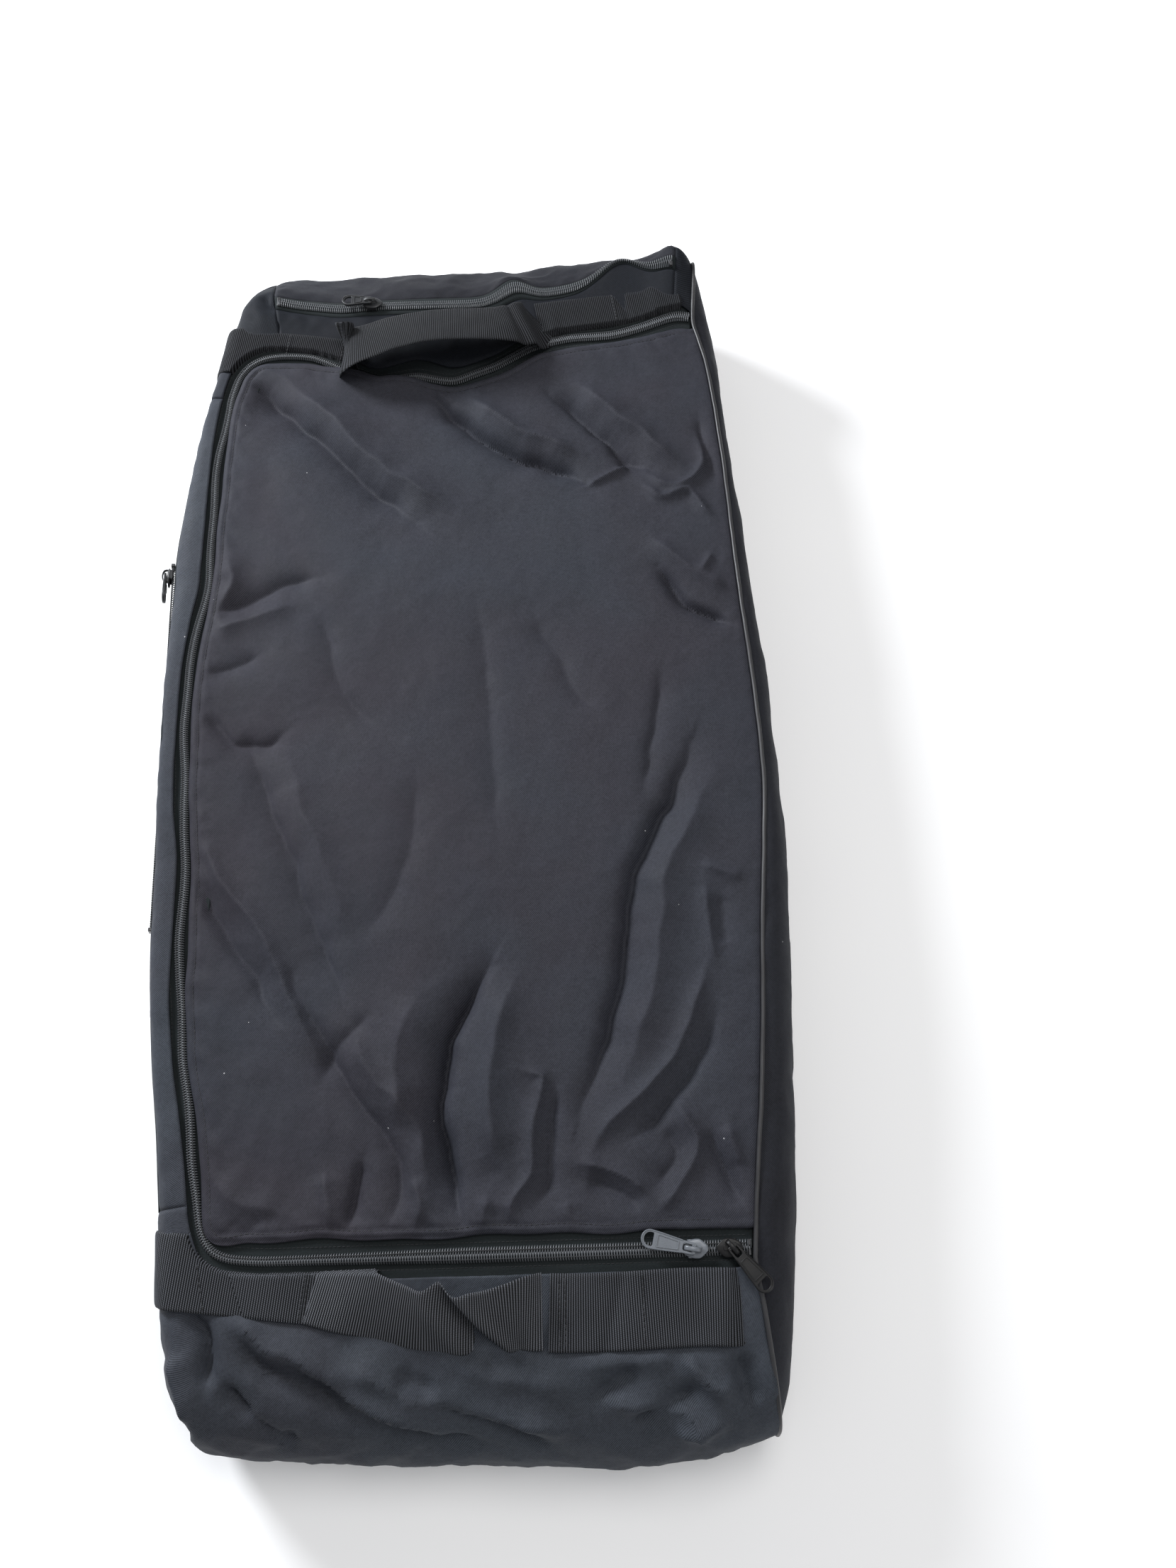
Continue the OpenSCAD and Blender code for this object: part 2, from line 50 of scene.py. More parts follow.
BOTTOM = [[212, -391, 221, -500, 4, 0, 40], [190, -384, 190, -517, 13.5, 110, 32], [130, -384, 130, -523, 13.5, 118, 30],
          [60, -384, 60, -526, 13.5, 120, 30], [-10, -384, -10, -525, 13.5, 119, 30], [-80, -384, -88, -521, 13.5, 114, 30],
          [-135, -384, -150, -515, 13.5, 108, 32], [-158, -382, -180, -507, 12.5, 96, 36], [-170, -377, -200, -488, 11, 84, 40],
          [-177, -367, -212, -448, 9, 60, 43], [-180, -357, -218, -400, 8, 38, 45]]
LEFT = [[-180, -357, -218, -400, 8, 38, 45], [-182, -345, -223, -350, 7, 28, 45], [-190, -300, -232, -300, 7, 28, 45],
        [-202, -245, -240, -245, 7, 28, 45], [-209, -190, -246, -190, 7, 28, 45], [-211, -140, -251, -140, 7, 28, 45],
        [-213, -90, -253, -90, 7, 28, 45], [-220, -40, -255, -40, 7, 27, 45], [-223, 20, -257.3, 20, 7, 26, 45],
        [-224, 75, -259.5, 75, 7, 27, 45], [-221, 125, -261.4, 125, 7, 28, 45], [-217, 160, -262.8, 160, 7, 28, 45],
        [-217, 190, -264, 190, 7, 28, 45], [-217, 240, -260, 240, 7, 28, 45], [-216, 300, -252, 300, 7, 27, 45],
        [-212, 350, -243, 352, 7, 23, 45], [-206, 377, -234, 396, 8, 24, 45]]
TOP = [[-206, 377, -234, 396, 8, 24, 45], [-197, 390, -226, 450, 10, 46, 45], [-184, 397, -214, 490, 12, 72, 45],
       [-167, 397.5, -190, 514, 13.5, 92, 45], [-140, 394, -140, 522, 13.5, 105, 45], [-110, 382.5, -110, 524, 13.5, 112, 45],
       [-78, 369, -75, 526, 13.5, 112, 45], [-42, 377, -40, 526, 13.5, 112, 45], [-8, 368, -5, 526, 13.5, 112, 45],
       [30, 378.5, 30, 526, 13.5, 112, 45], [65, 401, 65, 526, 13.5, 100, 45], [100, 410, 100, 525, 13.5, 90, 45],
       [140, 415, 140, 523, 13.5, 82, 45], [173, 423, 177, 520, 13.5, 72, 45], [198, 431, 203, 511, 12, 60, 45],
       [216, 426, 219, 498, 6, 0, 45]]
RIGHT = [[216, 426, 219, 498, 0, 0, 45], [220, 405, 237, 440, 0, 0, 45], [226, 375, 240, 378, 0, 0, 45],
         [231, 320, 242, 320, 0, 0, 45], [235, 254, 246, 254, 0, 0, 45], [237, 192, 252, 192, 0, 0, 45],
         [240, 130, 257, 130, 0, 0, 45], [245, 50, 262, 50, 0, 0, 45], [247, -20, 264, -20, 0, 0, 45],
         [243, -80, 264, -80, 0, 0, 45], [236, -150, 262, -150, 0, 0, 45], [231, -218, 258, -218, 0, 0, 45],
         [225, -281, 255, -281, 0, 0, 45], [218, -335, 250, -344, 0, 0, 45], [214, -370, 246, -395, 0, 0, 45],
         [213, -380, 241, -440, 0, 0, 43], [212.5, -386, 233, -476, 0, 0, 41], [212, -391, 221, -500, 0, 0, 40]]

SLIM = 6.8                      # how far the left side's soft outline sits inside the plain solid
for r_ in LEFT[2:-1]:
    r_[2] += SLIM
LEFT[1][2] += SLIM * 0.6; LEFT[-1][2] += SLIM * 0.6; TOP[0][2] += SLIM * 0.6; TOP[1][2] += SLIM * 0.3
LEFT[0][2] += 4.5; BOTTOM[-1][2] += 4.5; BOTTOM[-2][2] += 6; BOTTOM[-2][3] -= 2; BOTTOM[-3][2] += 4; BOTTOM[-3][3] -= 2
BOTTOM[-4][3] -= 2; BOTTOM[1][3] -= 5; BOTTOM[2][3] -= 3; BOTTOM[3][3] -= 2; BOTTOM[0][2] += 4; BOTTOM[0][3] -= 8
RIGHT[-1][2] += 4; RIGHT[-1][3] -= 8; RIGHT[-2][2] += 2
TOP[1][2] += 5; TOP[2][2] += 7; TOP[3][2] += 4

# ---------------------------------------------------------------- small maths
def pchip(x, y, q):
    """Shape-keeping cubic through (x, y), read at q; y may have several columns."""
    x = np.asarray(x, float); y = np.asarray(y, float); q = np.asarray(q, float)
    if y.ndim == 1:
        return pchip(x, y[:, None], q)[..., 0]
    h = np.diff(x); d = np.diff(y, axis=0) / h[:, None]
    m = np.zeros_like(y)
    w1 = 2 * h[1:] + h[:-1]; w2 = h[1:] + 2 * h[:-1]
    with np.errstate(divide="ignore", invalid="ignore"):
        hm = (w1 + w2)[:, None] / (w1[:, None] / d[:-1] + w2[:, None] / d[1:])
    m[1:-1] = np.where(d[:-1] * d[1:] > 0, hm, 0)
    m[0] = d[0]; m[-1] = d[-1]
    i = np.clip(np.searchsorted(x, q, side="right") - 1, 0, len(x) - 2)
    t = (q - x[i]) / h[i]; hh = h[i]
    t = t[..., None]; hh = hh[..., None]
    return ((2 * t**3 - 3 * t**2 + 1) * y[i] + (t**3 - 2 * t**2 + t) * hh * m[i]
            + (-2 * t**3 + 3 * t**2) * y[i + 1] + (t**3 - t**2) * hh * m[i + 1])

def smooth(e0, e1, x):
    t = np.clip((np.asarray(x, float) - e0) / (e1 - e0), 0, 1)
    return t * t * (3 - 2 * t)

_rs = np.random.RandomState(11)
_perm = np.concatenate([_rs.permutation(256)] * 3)
_grad = _rs.normal(size=(256, 3)); _grad /= np.linalg.norm(_grad, axis=1)[:, None]
def noise3(P):
    """Gradient noise, about -0.7 to 0.7."""
    P = np.asarray(P, float); i = np.floor(P).astype(int); f = P - i
    u = f * f * f * (f * (f * 6 - 15) + 10)
    out = 0
    for dx in (0, 1):
        for dy in (0, 1):
            for dz in (0, 1):
                a = _perm[(i[..., 0] + dx) & 255]; b = _perm[a + ((i[..., 1] + dy) & 255)]; g = _grad[_perm[b + ((i[..., 2] + dz) & 255)]]
                w = (u[..., 0] if dx else 1 - u[..., 0]) * (u[..., 1] if dy else 1 - u[..., 1]) * (u[..., 2] if dz else 1 - u[..., 2])
                out = out + w * ((f[..., 0] - dx) * g[..., 0] + (f[..., 1] - dy) * g[..., 1] + (f[..., 2] - dz) * g[..., 2])
    return out

def xyz(x, y, z):
    x, y, z = np.broadcast_arrays(x, y, z)
    return np.stack([x, y, z], -1)

def resample(pts, step):
    """Points along a polyline, smoothed, about step apart."""
    pts = np.asarray(pts, float)
    s = np.concatenate([[0], np.cumsum(np.linalg.norm(np.diff(pts, axis=0), axis=1))])
    n = max(2, int(round(s[-1] / step)) + 1)
    q = np.linspace(0, s[-1], n)
    return pchip(s, pts, q)

def arclen(p):
    return np.concatenate([[0], np.cumsum(np.linalg.norm(np.diff(p, axis=0), axis=1))])

def dist_line(X, Y, line):
    """Distance of every (X, Y) from a polyline, its side (+ left of travel) and how far along it is, 0 to 1."""
    best = np.full(X.shape, 1e9); side = np.zeros(X.shape); along = np.zeros(X.shape)
    L = np.asarray(line, float); s = arclen(L)
    for k in range(len(L) - 1):
        a, b = L[k], L[k + 1]; d = b - a; n2 = d @ d
        t = np.clip(((X - a[0]) * d[0] + (Y - a[1]) * d[1]) / n2, 0, 1)
        dx = X - (a[0] + t * d[0]); dy = Y - (a[1] + t * d[1])
        r = np.hypot(dx, dy); m = r < best
        best = np.where(m, r, best)
        side = np.where(m, d[0] * dy - d[1] * dx, side)
        along = np.where(m, (s[k] + t * (s[k + 1] - s[k])) / s[-1], along)
    return best, np.sign(side), along

# ---------------------------------------------------------------- the main zip's route, smoothed
ROUTE_C = ([[212.4, -384]] + [[b[0], b[1]] for b in BOTTOM[1:-1]] + [[b[0], b[1]] for b in LEFT[:-1]] + [[b[0], b[1]] for b in TOP[:-1]] + [[215.6, 430]])
def smooth_route():
    P = np.array(ROUTE_C, float); s = arclen(P)
    q = np.linspace(0, s[-1], 2600)
    # straight segments, then a local blur that leaves the straight bottom run alone
    R = np.stack([np.interp(q, s, P[:, k]) for k in (0, 1)], 1)
    for _ in range(60):
        R[1:-1] = R[1:-1] * 0.5 + (R[:-2] + R[2:]) * 0.25
    for _ in range(90):
        w = smooth(300, 330, q[1:-1])[:, None] * 0.5
        R[1:-1] = R[1:-1] * (1 - w) + (R[:-2] + R[2:]) * 0.5 * w
    return R
ROUTE = smooth_route(); ROUTE_S = arclen(ROUTE); ROUTE_L = ROUTE_S[-1]
_t = np.gradient(ROUTE, axis=0); _t /= np.linalg.norm(_t, axis=1)[:, None]
ROUTE_T = _t; ROUTE_N = np.stack([-_t[:, 1], _t[:, 0]], 1)       # positive is outside the flap
def route_at(s):
    s = np.asarray(s, float)
    p = np.stack([np.interp(s, ROUTE_S, ROUTE[:, k]) for k in (0, 1)], -1)
    n = np.stack([np.interp(s, ROUTE_S, ROUTE_N[:, k]) for k in (0, 1)], -1)
    n /= np.linalg.norm(n, axis=-1)[..., None]
    return p, n
def route_off(x, y):
    """Signed distance of every (x, y) from the zip's middle, positive outside the flap."""
    x = np.asarray(x, float); sh = x.shape; Q = np.stack([x.ravel(), np.asarray(y, float).ravel()], 1); out = np.empty(len(Q))
    for k in range(0, len(Q), 8000):
        j = ((Q[k:k + 8000, None] - ROUTE[None, ::2]) ** 2).sum(-1).argmin(1) * 2
        out[k:k + 8000] = ((Q[k:k + 8000] - ROUTE[j]) * ROUTE_N[j]).sum(1)
    return out.reshape(sh)
def route_wave(s):
    """Small sideways waves of the stitched zip, none where the main sliders run."""
    s = np.asarray(s, float)
    return (smooth(400, 470, s)) * (1.3 * np.sin(s / 31.0) + 0.8 * np.sin(s / 13.7 + 1.0))

# ---------------------------------------------------------------- height of the whole front, mm over FZ
def height(x, y):
    """Slow rise and fall of the front; nothing where the main sliders and the pocket sliders run."""
    x = np.asarray(x, float); y = np.asarray(y, float)
    h = 30 * np.exp(-(((x - 206) / 27) ** 2 + ((y - 492) / 38) ** 2))            # peak at the top right corner
    h = h + 11 * np.exp(-(((x - 165) / 60) ** 2 + ((y - 505) / 40) ** 2))
    h = h + 10 * np.exp(-(((x + 192) / 30) ** 2 + ((y - 452) / 34) ** 2))          # rounded top left corner
    h = h - 9 * np.exp(-(((x + 115) / 60) ** 2 + ((y - 505) / 34) ** 2)) - 4 * np.exp(-(((x - 20) / 70) ** 2 + ((y - 510) / 30) ** 2))
    h = h - 5 * np.exp(-(((x + 60) / 110) ** 2 + ((y - 360) / 30) ** 2))
    h = h + 4.5 * noise3(xyz(x / 120 + 3, y / 120 + 7, 0.5)) * smooth(-330, -230, y) * (1 - smooth(420, 470, y))
    return h
def body_warp(P):
    """Moves a point of the bag's skin by the front's height, less and less down the sides."""
    P = np.array(P, float)
    f = smooth(50, 100, P[..., 2])
    x, y = P[..., 0].copy(), P[..., 1].copy()
    P[..., 2] += height(x, y) * f
    # the top end's cloth bulges twice beyond the slider's run, and the pocket zip arches over both bulges
    w = np.exp(-((y - 462) / 20) ** 2)
    g1 = np.exp(-((x - 46) / 19) ** 2); g2 = np.exp(-((x - 150) / 27) ** 2)
    P[..., 1] += (13 * g1 + 24 * g2) * w * f
    P[..., 2] += (6 * g1 + 7 * g2) * np.exp(-((y - 470) / 22) ** 2) * f
    return P

# ---------------------------------------------------------------- folds, listed one by one: (line, depth +up, width, sharpness side, width ratio)
FOLDS = [
    # broad folds from the upper corners
    ([(-202, 379), (-149, 327), (-88, 261), (-40, 215)], -5.5, 17, 1, 0.6), ([(-165, 372), (-118, 322), (-60, 262), (0, 225)], 4.0, 18, 0, 1),
    ([(-27, 353), (1, 321), (38, 290), (81, 271), (112, 252)], -6.5, 11, 1, 0.55), ([(10, 346), (38, 316), (72, 296), (108, 280)], 4.0, 12, 0, 1),
    ([(79, 350), (119, 310), (152, 273), (170, 262)], -6.0, 12, -1, 0.55), ([(105, 356), (140, 320), (176, 285), (195, 262)], 4.0, 12, 0, 1),
    ([(108, 246), (117, 250), (146, 268), (152, 276)], 2.2, 3.5, 0, 1), ([(150, 264), (146, 273), (141, 266)], -2.2, 4, 0, 1),
    ([(165, 262), (170, 254), (188, 243), (206, 253), (216, 271), (212, 301)], 2.6, 5, 0, 1), ([(160, 250), (178, 233), (199, 239), (219, 213), (225, 209)], 2.4, 5, 0, 1),
    ([(214, 318), (216, 301), (226, 249)], -2.5, 6, 0, 1), ([(217, 175), (207, 155)], 1.6, 4, 0, 1), ([(170, 165), (177, 153), (193, 129), (233, 108)], -5, 8, 1, 0.5),
    ([(165, 196), (196, 160), (236, 140)], 3, 11, 0, 1),
    # middle
    ([(15, 137), (23, 69), (29, -29), (33, -80)], -2.0, 14, 1, 0.6), ([(62, 118), (81, 83), (97, 48), (114, 25)], -2.2, 10, 0, 1),
    ([(169, 65), (155, -9), (151, -42)], -3.0, 9, -1, 0.5), ([(-209, 126), (-185, 139), (-146, 158), (-120, 162)], -4.5, 9, 0, 1),
    ([(-212, 108), (-185, 118), (-140, 134)], 3, 10, 0, 1), ([(-210, 73), (-193, 77), (-167, 88)], -2.6, 7, 0, 1),
    ([(-212, 40), (-196, 22), (-180, 7), (-160, 8), (-142, 22)], -3.4, 9, 1, 0.6), ([(-125, 132), (-115, 112), (-100, 64), (-85, 36), (-60, 20)], -2.6, 13, 1, 0.6),
    ([(-206, -64), (-181, -108), (-145, -157), (-125, -196), (-100, -245)], 4.2, 9, 0, 1), ([(-212, -88), (-190, -130), (-156, -180), (-136, -215)], -4.5, 10, -1, 0.6),
    ([(-170, 10), (-155, -35), (-131, -86), (-114, -134), (-94, -181), (-80, -215)], -3.6, 12, 1, 0.5), ([(-140, 0), (-118, -60), (-98, -110), (-80, -160)], 2.4, 12, 0, 1),
    ([(-72, -159), (-46, -112), (-36, -64), (-34, -20)], -2.2, 12, 0, 1), ([(-205, 190), (-195, 160), (-206, 128)], 2.4, 9, 0, 1),
    # lower half, running down to the zip
    ([(190, 0), (177, -33), (146, -96), (134, -126), (128, -186), (113, -233), (102, -265), (92, -292)], -8.5, 13, -1, 0.45),
    ([(205, -30), (186, -66), (160, -122), (152, -186), (136, -235), (122, -270)], 5.5, 15, 0, 1),
    ([(192, -180), (182, -204), (166, -244), (134, -279), (110, -301), (96, -322)], 4.2, 6, 0, 1), ([(196, -222), (176, -262), (150, -292), (128, -310)], -4.5, 8, 1, 0.5),
    ([(191, -105), (223, -117)], 2.6, 5, 0, 1), ([(192, -118), (194, -140), (197, -181)], 2.8, 5, 0, 1), ([(205, -128), (208, -170)], -2.5, 7, 0, 1),
    ([(24, -180), (11, -207), (-6, -243), (-9, -291), (-1, -323), (6, -362)], -13, 10, 1, 0.4), ([(44, -190), (30, -240), (26, -290), (34, -330)], 6.5, 15, 0, 1),
    ([(-30, -200), (-42, -250), (-40, -300)], 4.5, 16, 0, 1),
    ([(45, -257), (65, -264), (62, -280), (58, -296), (56, -328), (40, -355), (54, -370)], 3.4, 4.5, 0, 1), ([(74, -270), (72, -300), (70, -330), (60, -352)], -4, 7, 1, 0.6),
    ([(90, -325), (106, -328), (122, -335), (141, -348)], 3.2, 4.5, 0, 1), ([(92, -336), (118, -346), (134, -358)], -3.6, 6, 0, 1),
    ([(160, -280), (167, -293), (176, -312), (166, -334), (154, -351), (140, -366)], 3.6, 5, 0, 1), ([(150, -300), (160, -318), (146, -344)], -3.2, 7, 0, 1),
    ([(184, -300), (191, -322), (208, -359)], -4.2, 6, 0, 1), ([(198, -300), (207, -330)], 3.4, 6, 0, 1),
    ([(-108, -215), (-98, -230), (-79, -265), (-45, -310), (-35, -337), (-46, -363)], -5.0, 10, 1, 0.55), ([(-80, -220), (-58, -262), (-24, -300), (-18, -345)], 3.6, 10, 0, 1),
    ([(-130, -170), (-124, -185), (-105, -222), (-95, -237)], -3.0, 9, 0, 1), ([(-64, -213), (-90, -242), (-98, -262)], -3.0, 8, 0, 1),
    ([(-75, -370), (-73, -358), (-69, -336), (-66, -318)], -5.0, 7, 1, 0.6), ([(-88, -368), (-88, -350), (-92, -325)], 2.8, 7, 0, 1), ([(-150, -368), (-142, -362), (-132, -358)], -2.6, 6, 0, 1),
    ([(-172, -330), (-150, -345), (-120, -352)], 2.2, 10, 0, 1), ([(-30, -372), (-24, -352), (-28, -330)], 3, 6, 0, 1), ([(20, -370), (24, -345)], 3, 6, 0, 1), ([(84, -368), (80, -350)], 2.2, 6, 0, 1),
]
FOLDS = [(l_, d_ * (1.5 if l_[0][1] > 150 else 1.0), w_ * (0.85 if l_[0][1] > 150 else 1.0), a_, b_) for l_, d_, w_, a_, b_ in FOLDS]
END_FOLDS = [
    ([(-184, -404), (-177, -419), (-166, -442), (-167, -466)], -7, 7, 1, 0.6), ([(-190, -440), (-182, -464), (-176, -486)], 4.5, 8, 0, 1),
    ([(-166, -402), (-150, -415), (-128, -437), (-101, -448), (-73, -471), (-41, -485), (-10, -500)], 5.5, 8, 0, 1), ([(-150, -432), (-126, -456), (-96, -468), (-66, -490)], -6.5, 9, -1, 0.5),
    ([(-158, -458), (-153, -464), (-129, -487), (-112, -500)], -6, 8, 1, 0.5), ([(-113, -491), (-111, -501)], -3, 5, 0, 1), ([(-140, -476), (-118, -500)], 4, 7, 0, 1),
    ([(-118, -446), (-105, -454), (-87, -464), (-64, -479), (-19, -500), (29, -509)], -4.5, 7, 1, 0.5), ([(-90, -450), (-50, -462), (0, -482), (50, -492), (90, -500)], 4.5, 9, 0, 1),
    ([(86, -458), (93, -456), (127, -454), (150, -452)], 3.2, 5, 0, 1), ([(127, -456), (111, -468), (94, -476)], -4.2, 6, 0, 1), ([(158, -450), (164, -458), (182, -472), (198, -475)], 5, 6, 0, 1),
    ([(196, -452), (200, -470), (206, -486)], -5, 7, 0, 1), ([(120, -494), (135, -487), (167, -474)], -5, 7, 0, 1), ([(98, -475), (126, -482), (154, -485), (177, -508)], 4.4, 6, 0, 1),
    ([(-20, -478), (-3, -483), (43, -496), (70, -508)], -5.5, 8, 1, 0.6), ([(0, -456), (40, -462), (80, -470)], 3.5, 10, 0, 1), ([(-40, -458), (-10, -470)], -3.5, 8, 0, 1),
    ([(20, -452), (50, -456)], -3, 8, 0, 1), ([(150, -500), (190, -492)], 4, 7, 0, 1), ([(-196, -470), (-186, -500)], -4, 7, 0, 1),
]
TOP_FOLDS = [
    ([(-192, 470), (-178, 452), (-172, 470)], -5, 7, 0, 1), ([(-165, 448), (-120, 440), (-80, 446)], 2.6, 8, 0, 1), ([(-150, 470), (-100, 462), (-50, 466)], -2.4, 9, 0, 1),
    ([(90, 470), (120, 486), (150, 500)], -4.2, 9, 0, 1), ([(60, 476), (100, 492)], 4.2, 9, 0, 1), ([(160, 474), (184, 486), (196, 500)], -4, 7, 0, 1),
    ([(-60, 505), (-10, 498), (40, 504)], 2.5, 8, 0, 1),
]
def fold_field(x, y, folds, gain=1.0, power=1.4):
    h = np.zeros(np.shape(x))
    for line, depth, width, side, ratio in folds:
        L = np.array(line, float); lo = L.min(0) - 3.2 * width; hi = L.max(0) + 3.2 * width
        m = (x > lo[0]) & (x < hi[0]) & (y > lo[1]) & (y < hi[1])
        if not m.any():
            continue
        Ls = resample(L, 6.0)
        # slight wander, so that no fold is a drawn line
        Ls = Ls + np.stack([noise3(xyz(Ls[:, 0] / 22, Ls[:, 1] / 22, 1.7)), noise3(xyz(Ls[:, 0] / 22, Ls[:, 1] / 22, 9.1))], 1) * min(5.0, width * 0.5)
        d, sg, al = dist_line(x[m], y[m], Ls)
        w = np.where(sg * side > 0, width * ratio, width) if side else width
        end = smooth(0, 0.22, al) * (1 - smooth(0.78, 1, al))
        h[m] += gain * depth * np.exp(-np.abs(d / w) ** power) * (0.25 + 0.75 * end) * np.clip(1 - (d / (3 * width)) ** 2, 0, 1)
    return h

def wrinkles(P, amp, scale):
    """Crumple: ridged noise, bent by slower noise."""
    q = P / scale
    w = np.stack([noise3(q * 0.6 + 11), noise3(q * 0.6 + 23), noise3(q * 0.6 + 37)], -1) * 0.9
    a = noise3(q + w)
    r = 0.35 - np.abs(noise3(q * 1.3 + w * 1.5 + 5))
    return amp * (1.1 * a + 0.9 * r)

def crumple(P, amp, scale):
    """Flat facets meeting in creases, as stiff cloth buckles."""
    rs = np.random.RandomState(5); q = P / scale
    q = q + 0.35 * np.stack([noise3(q * 1.1 + 3), noise3(q * 1.1 + 13), noise3(q * 1.1 + 29)], -1)
    out = np.full(q.shape[:-1], -9.0)
    for k in range(7):
        d = rs.normal(size=3); d[2] *= 0.4; d /= np.linalg.norm(d); ph = rs.uniform(0, 6.28)
        t = (q @ d) * rs.uniform(0.9, 1.7) + ph; tri = np.abs((t / math.pi) % 2 - 1) * 2 - 1
        out = np.maximum(out, tri * 0.8 + 0.6 * noise3(q * 0.7 + 7 * k))
    return amp * (out - 0.7)

# ---------------------------------------------------------------- meshes
COL = bpy.context.scene.collection
MATS = {}
def new_mesh(name, verts_mm, faces, mat, uv=None, smooth_on=True, shift=True):
    V = np.asarray(verts_mm, float).reshape(-1, 3).copy()
    if shift:
        V[:, 0] += CX
    me = bpy.data.meshes.new(name)
    me.from_pydata((V / 1000).tolist(), [], [list(map(int, f)) for f in faces] if not isinstance(faces, np.ndarray) else faces.tolist())
    me.update()
    if uv is not None:
        lay = me.uv_layers.new(name="cloth")
        li = np.zeros(len(me.loops), int); me.loops.foreach_get("vertex_index", li)
        lay.data.foreach_set("uv", (np.asarray(uv, float)[li] / 1000).astype(np.float32).ravel())
    if smooth_on:
        me.polygons.foreach_set("use_smooth", np.ones(len(me.polygons), bool))
    me.materials.append(mat)
    ob = bpy.data.objects.new(name, me); COL.objects.link(ob)
    return ob

def grid_faces(n, m, off=0, flip=False):
    i, j = np.meshgrid(np.arange(n - 1), np.arange(m - 1), indexing="ij")
    a = (i * m + j).ravel() + off
    f = np.stack([a, a + 1, a + m + 1, a + m], 1)
    return f[:, ::-1] if flip else f

def grid_normals(P):
    du = np.gradient(P, axis=0); dv = np.gradient(P, axis=1)
    n = np.cross(du, dv); l = np.linalg.norm(n, axis=-1)[..., None]; l[l < 1e-9] = 1
    return n / l

def grid_uv(P, u0=0.0, v0=0.0):
    du = np.linalg.norm(np.diff(P, axis=0), axis=-1).mean(1); dv = np.linalg.norm(np.diff(P, axis=1), axis=-1).mean(0)
    u = np.concatenate([[0], np.cumsum(du)]) + u0; v = np.concatenate([[0], np.cumsum(dv)]) + v0
    return np.stack(np.meshgrid(u, v, indexing="ij"), -1)

def thick_grid(name, P, t, mat, outward=1, uv=None, N=None):
    """Closed sheet: the outer face is P and the inner is t under it. outward picks the side of the normal."""
    n, m = P.shape[:2]
    if N is None:
        N = grid_normals(P) * outward
    Q = P - N * t
    uv = grid_uv(P) if uv is None else uv
    k = n * m
    flip = outward < 0
    F = [grid_faces(n, m, 0, flip), grid_faces(n, m, k, not flip)]
    idx = np.arange(k).reshape(n, m)
    for ring, rev in ((idx[0], flip), (idx[-1], not flip)):
        a, b = ring[:-1], ring[1:]
        f = np.stack([a, a + k, b + k, b], 1); F.append(f[:, ::-1] if rev else f)
    for ring, rev in ((idx[:, 0], not flip), (idx[:, -1], flip)):
        a, b = ring[:-1], ring[1:]
        f = np.stack([a, a + k, b + k, b], 1); F.append(f[:, ::-1] if rev else f)
    V = np.concatenate([P.reshape(-1, 3), Q.reshape(-1, 3)])
    U = np.concatenate([uv.reshape(-1, 2), uv.reshape(-1, 2)])
    return new_mesh(name, V, np.concatenate(F), mat, U)

def tubes(name, paths, r, mat, sides=5, squash=1.0, up=None):
    """One mesh of many round bars, each along its own short list of points (k, 3). paths: (n, k, 3)."""
    P = np.asarray(paths, float); n, k = P.shape[:2]
    T = np.gradient(P, axis=1); T /= np.linalg.norm(T, axis=-1)[..., None]
    ref = np.array([0, 0, 1.0]) if up is None else np.asarray(up, float)
    A = np.cross(T, np.broadcast_to(ref, T.shape)); la = np.linalg.norm(A, axis=-1)[..., None]
    A = np.where(la < 1e-3, np.array([1.0, 0, 0]), A / np.maximum(la, 1e-9)); B = np.cross(A, T)
    r = np.broadcast_to(np.asarray(r, float), (n, k)) if np.ndim(r) else np.full((n, k), float(r))
    th = np.arange(sides) * 2 * math.pi / sides
    V = P[:, :, None] + r[:, :, None, None] * (A[:, :, None] * np.cos(th)[None, None, :, None] + squash * B[:, :, None] * np.sin(th)[None, None, :, None])
    base = (np.arange(n) * k * sides)[:, None, None]
    i = np.arange(k - 1)[None, :, None] * sides; j = np.arange(sides)[None, None, :]; j2 = (j + 1) % sides
    F = np.stack([base + i + j, base + i + j2, base + i + sides + j2, base + i + sides + j], -1).reshape(-1, 4)
    F = F[:, ::-1]
    caps = []
    for b in range(n):
        s = b * k * sides
        caps.append([s + q for q in range(sides)]); e = s + (k - 1) * sides
        caps.append([e + q for q in range(sides - 1, -1, -1)])
    faces = F.tolist() + caps
    return new_mesh(name, V.reshape(-1, 3), faces, mat)

# ---------------------------------------------------------------- materials
def mat_new(name):
    m = bpy.data.materials.new(name); m.use_nodes = True
    nt = m.node_tree; bs = nt.nodes["Principled BSDF"]
    return m, nt, bs
def node(nt, kind, **kw):
    n = nt.nodes.new(kind)
    for k, v in kw.items():
        setattr(n, k, v)
    return n
def mathn(nt, op, a, b=None, clamp=False):
    n = node(nt, "ShaderNodeMath", operation=op, use_clamp=clamp)
    for i, v in enumerate((a, b)):
        if v is None:
            continue
        if isinstance(v, (int, float)):
            n.inputs[i].default_value = v
        else:
            nt.links.new(v, n.inputs[i])
    return n.outputs[0]
def coords(nt, uv=True):
    if uv:
        return node(nt, "ShaderNodeUVMap", uv_map="cloth").outputs[0]
    return node(nt, "ShaderNodeTexCoord").outputs["Object"]
def scaled(nt, vec, s, rot=(0, 0, 0)):
    m = node(nt, "ShaderNodeMapping"); m.inputs["Scale"].default_value = s; m.inputs["Rotation"].default_value = rot
    nt.links.new(vec, m.inputs[0]); return m.outputs[0]
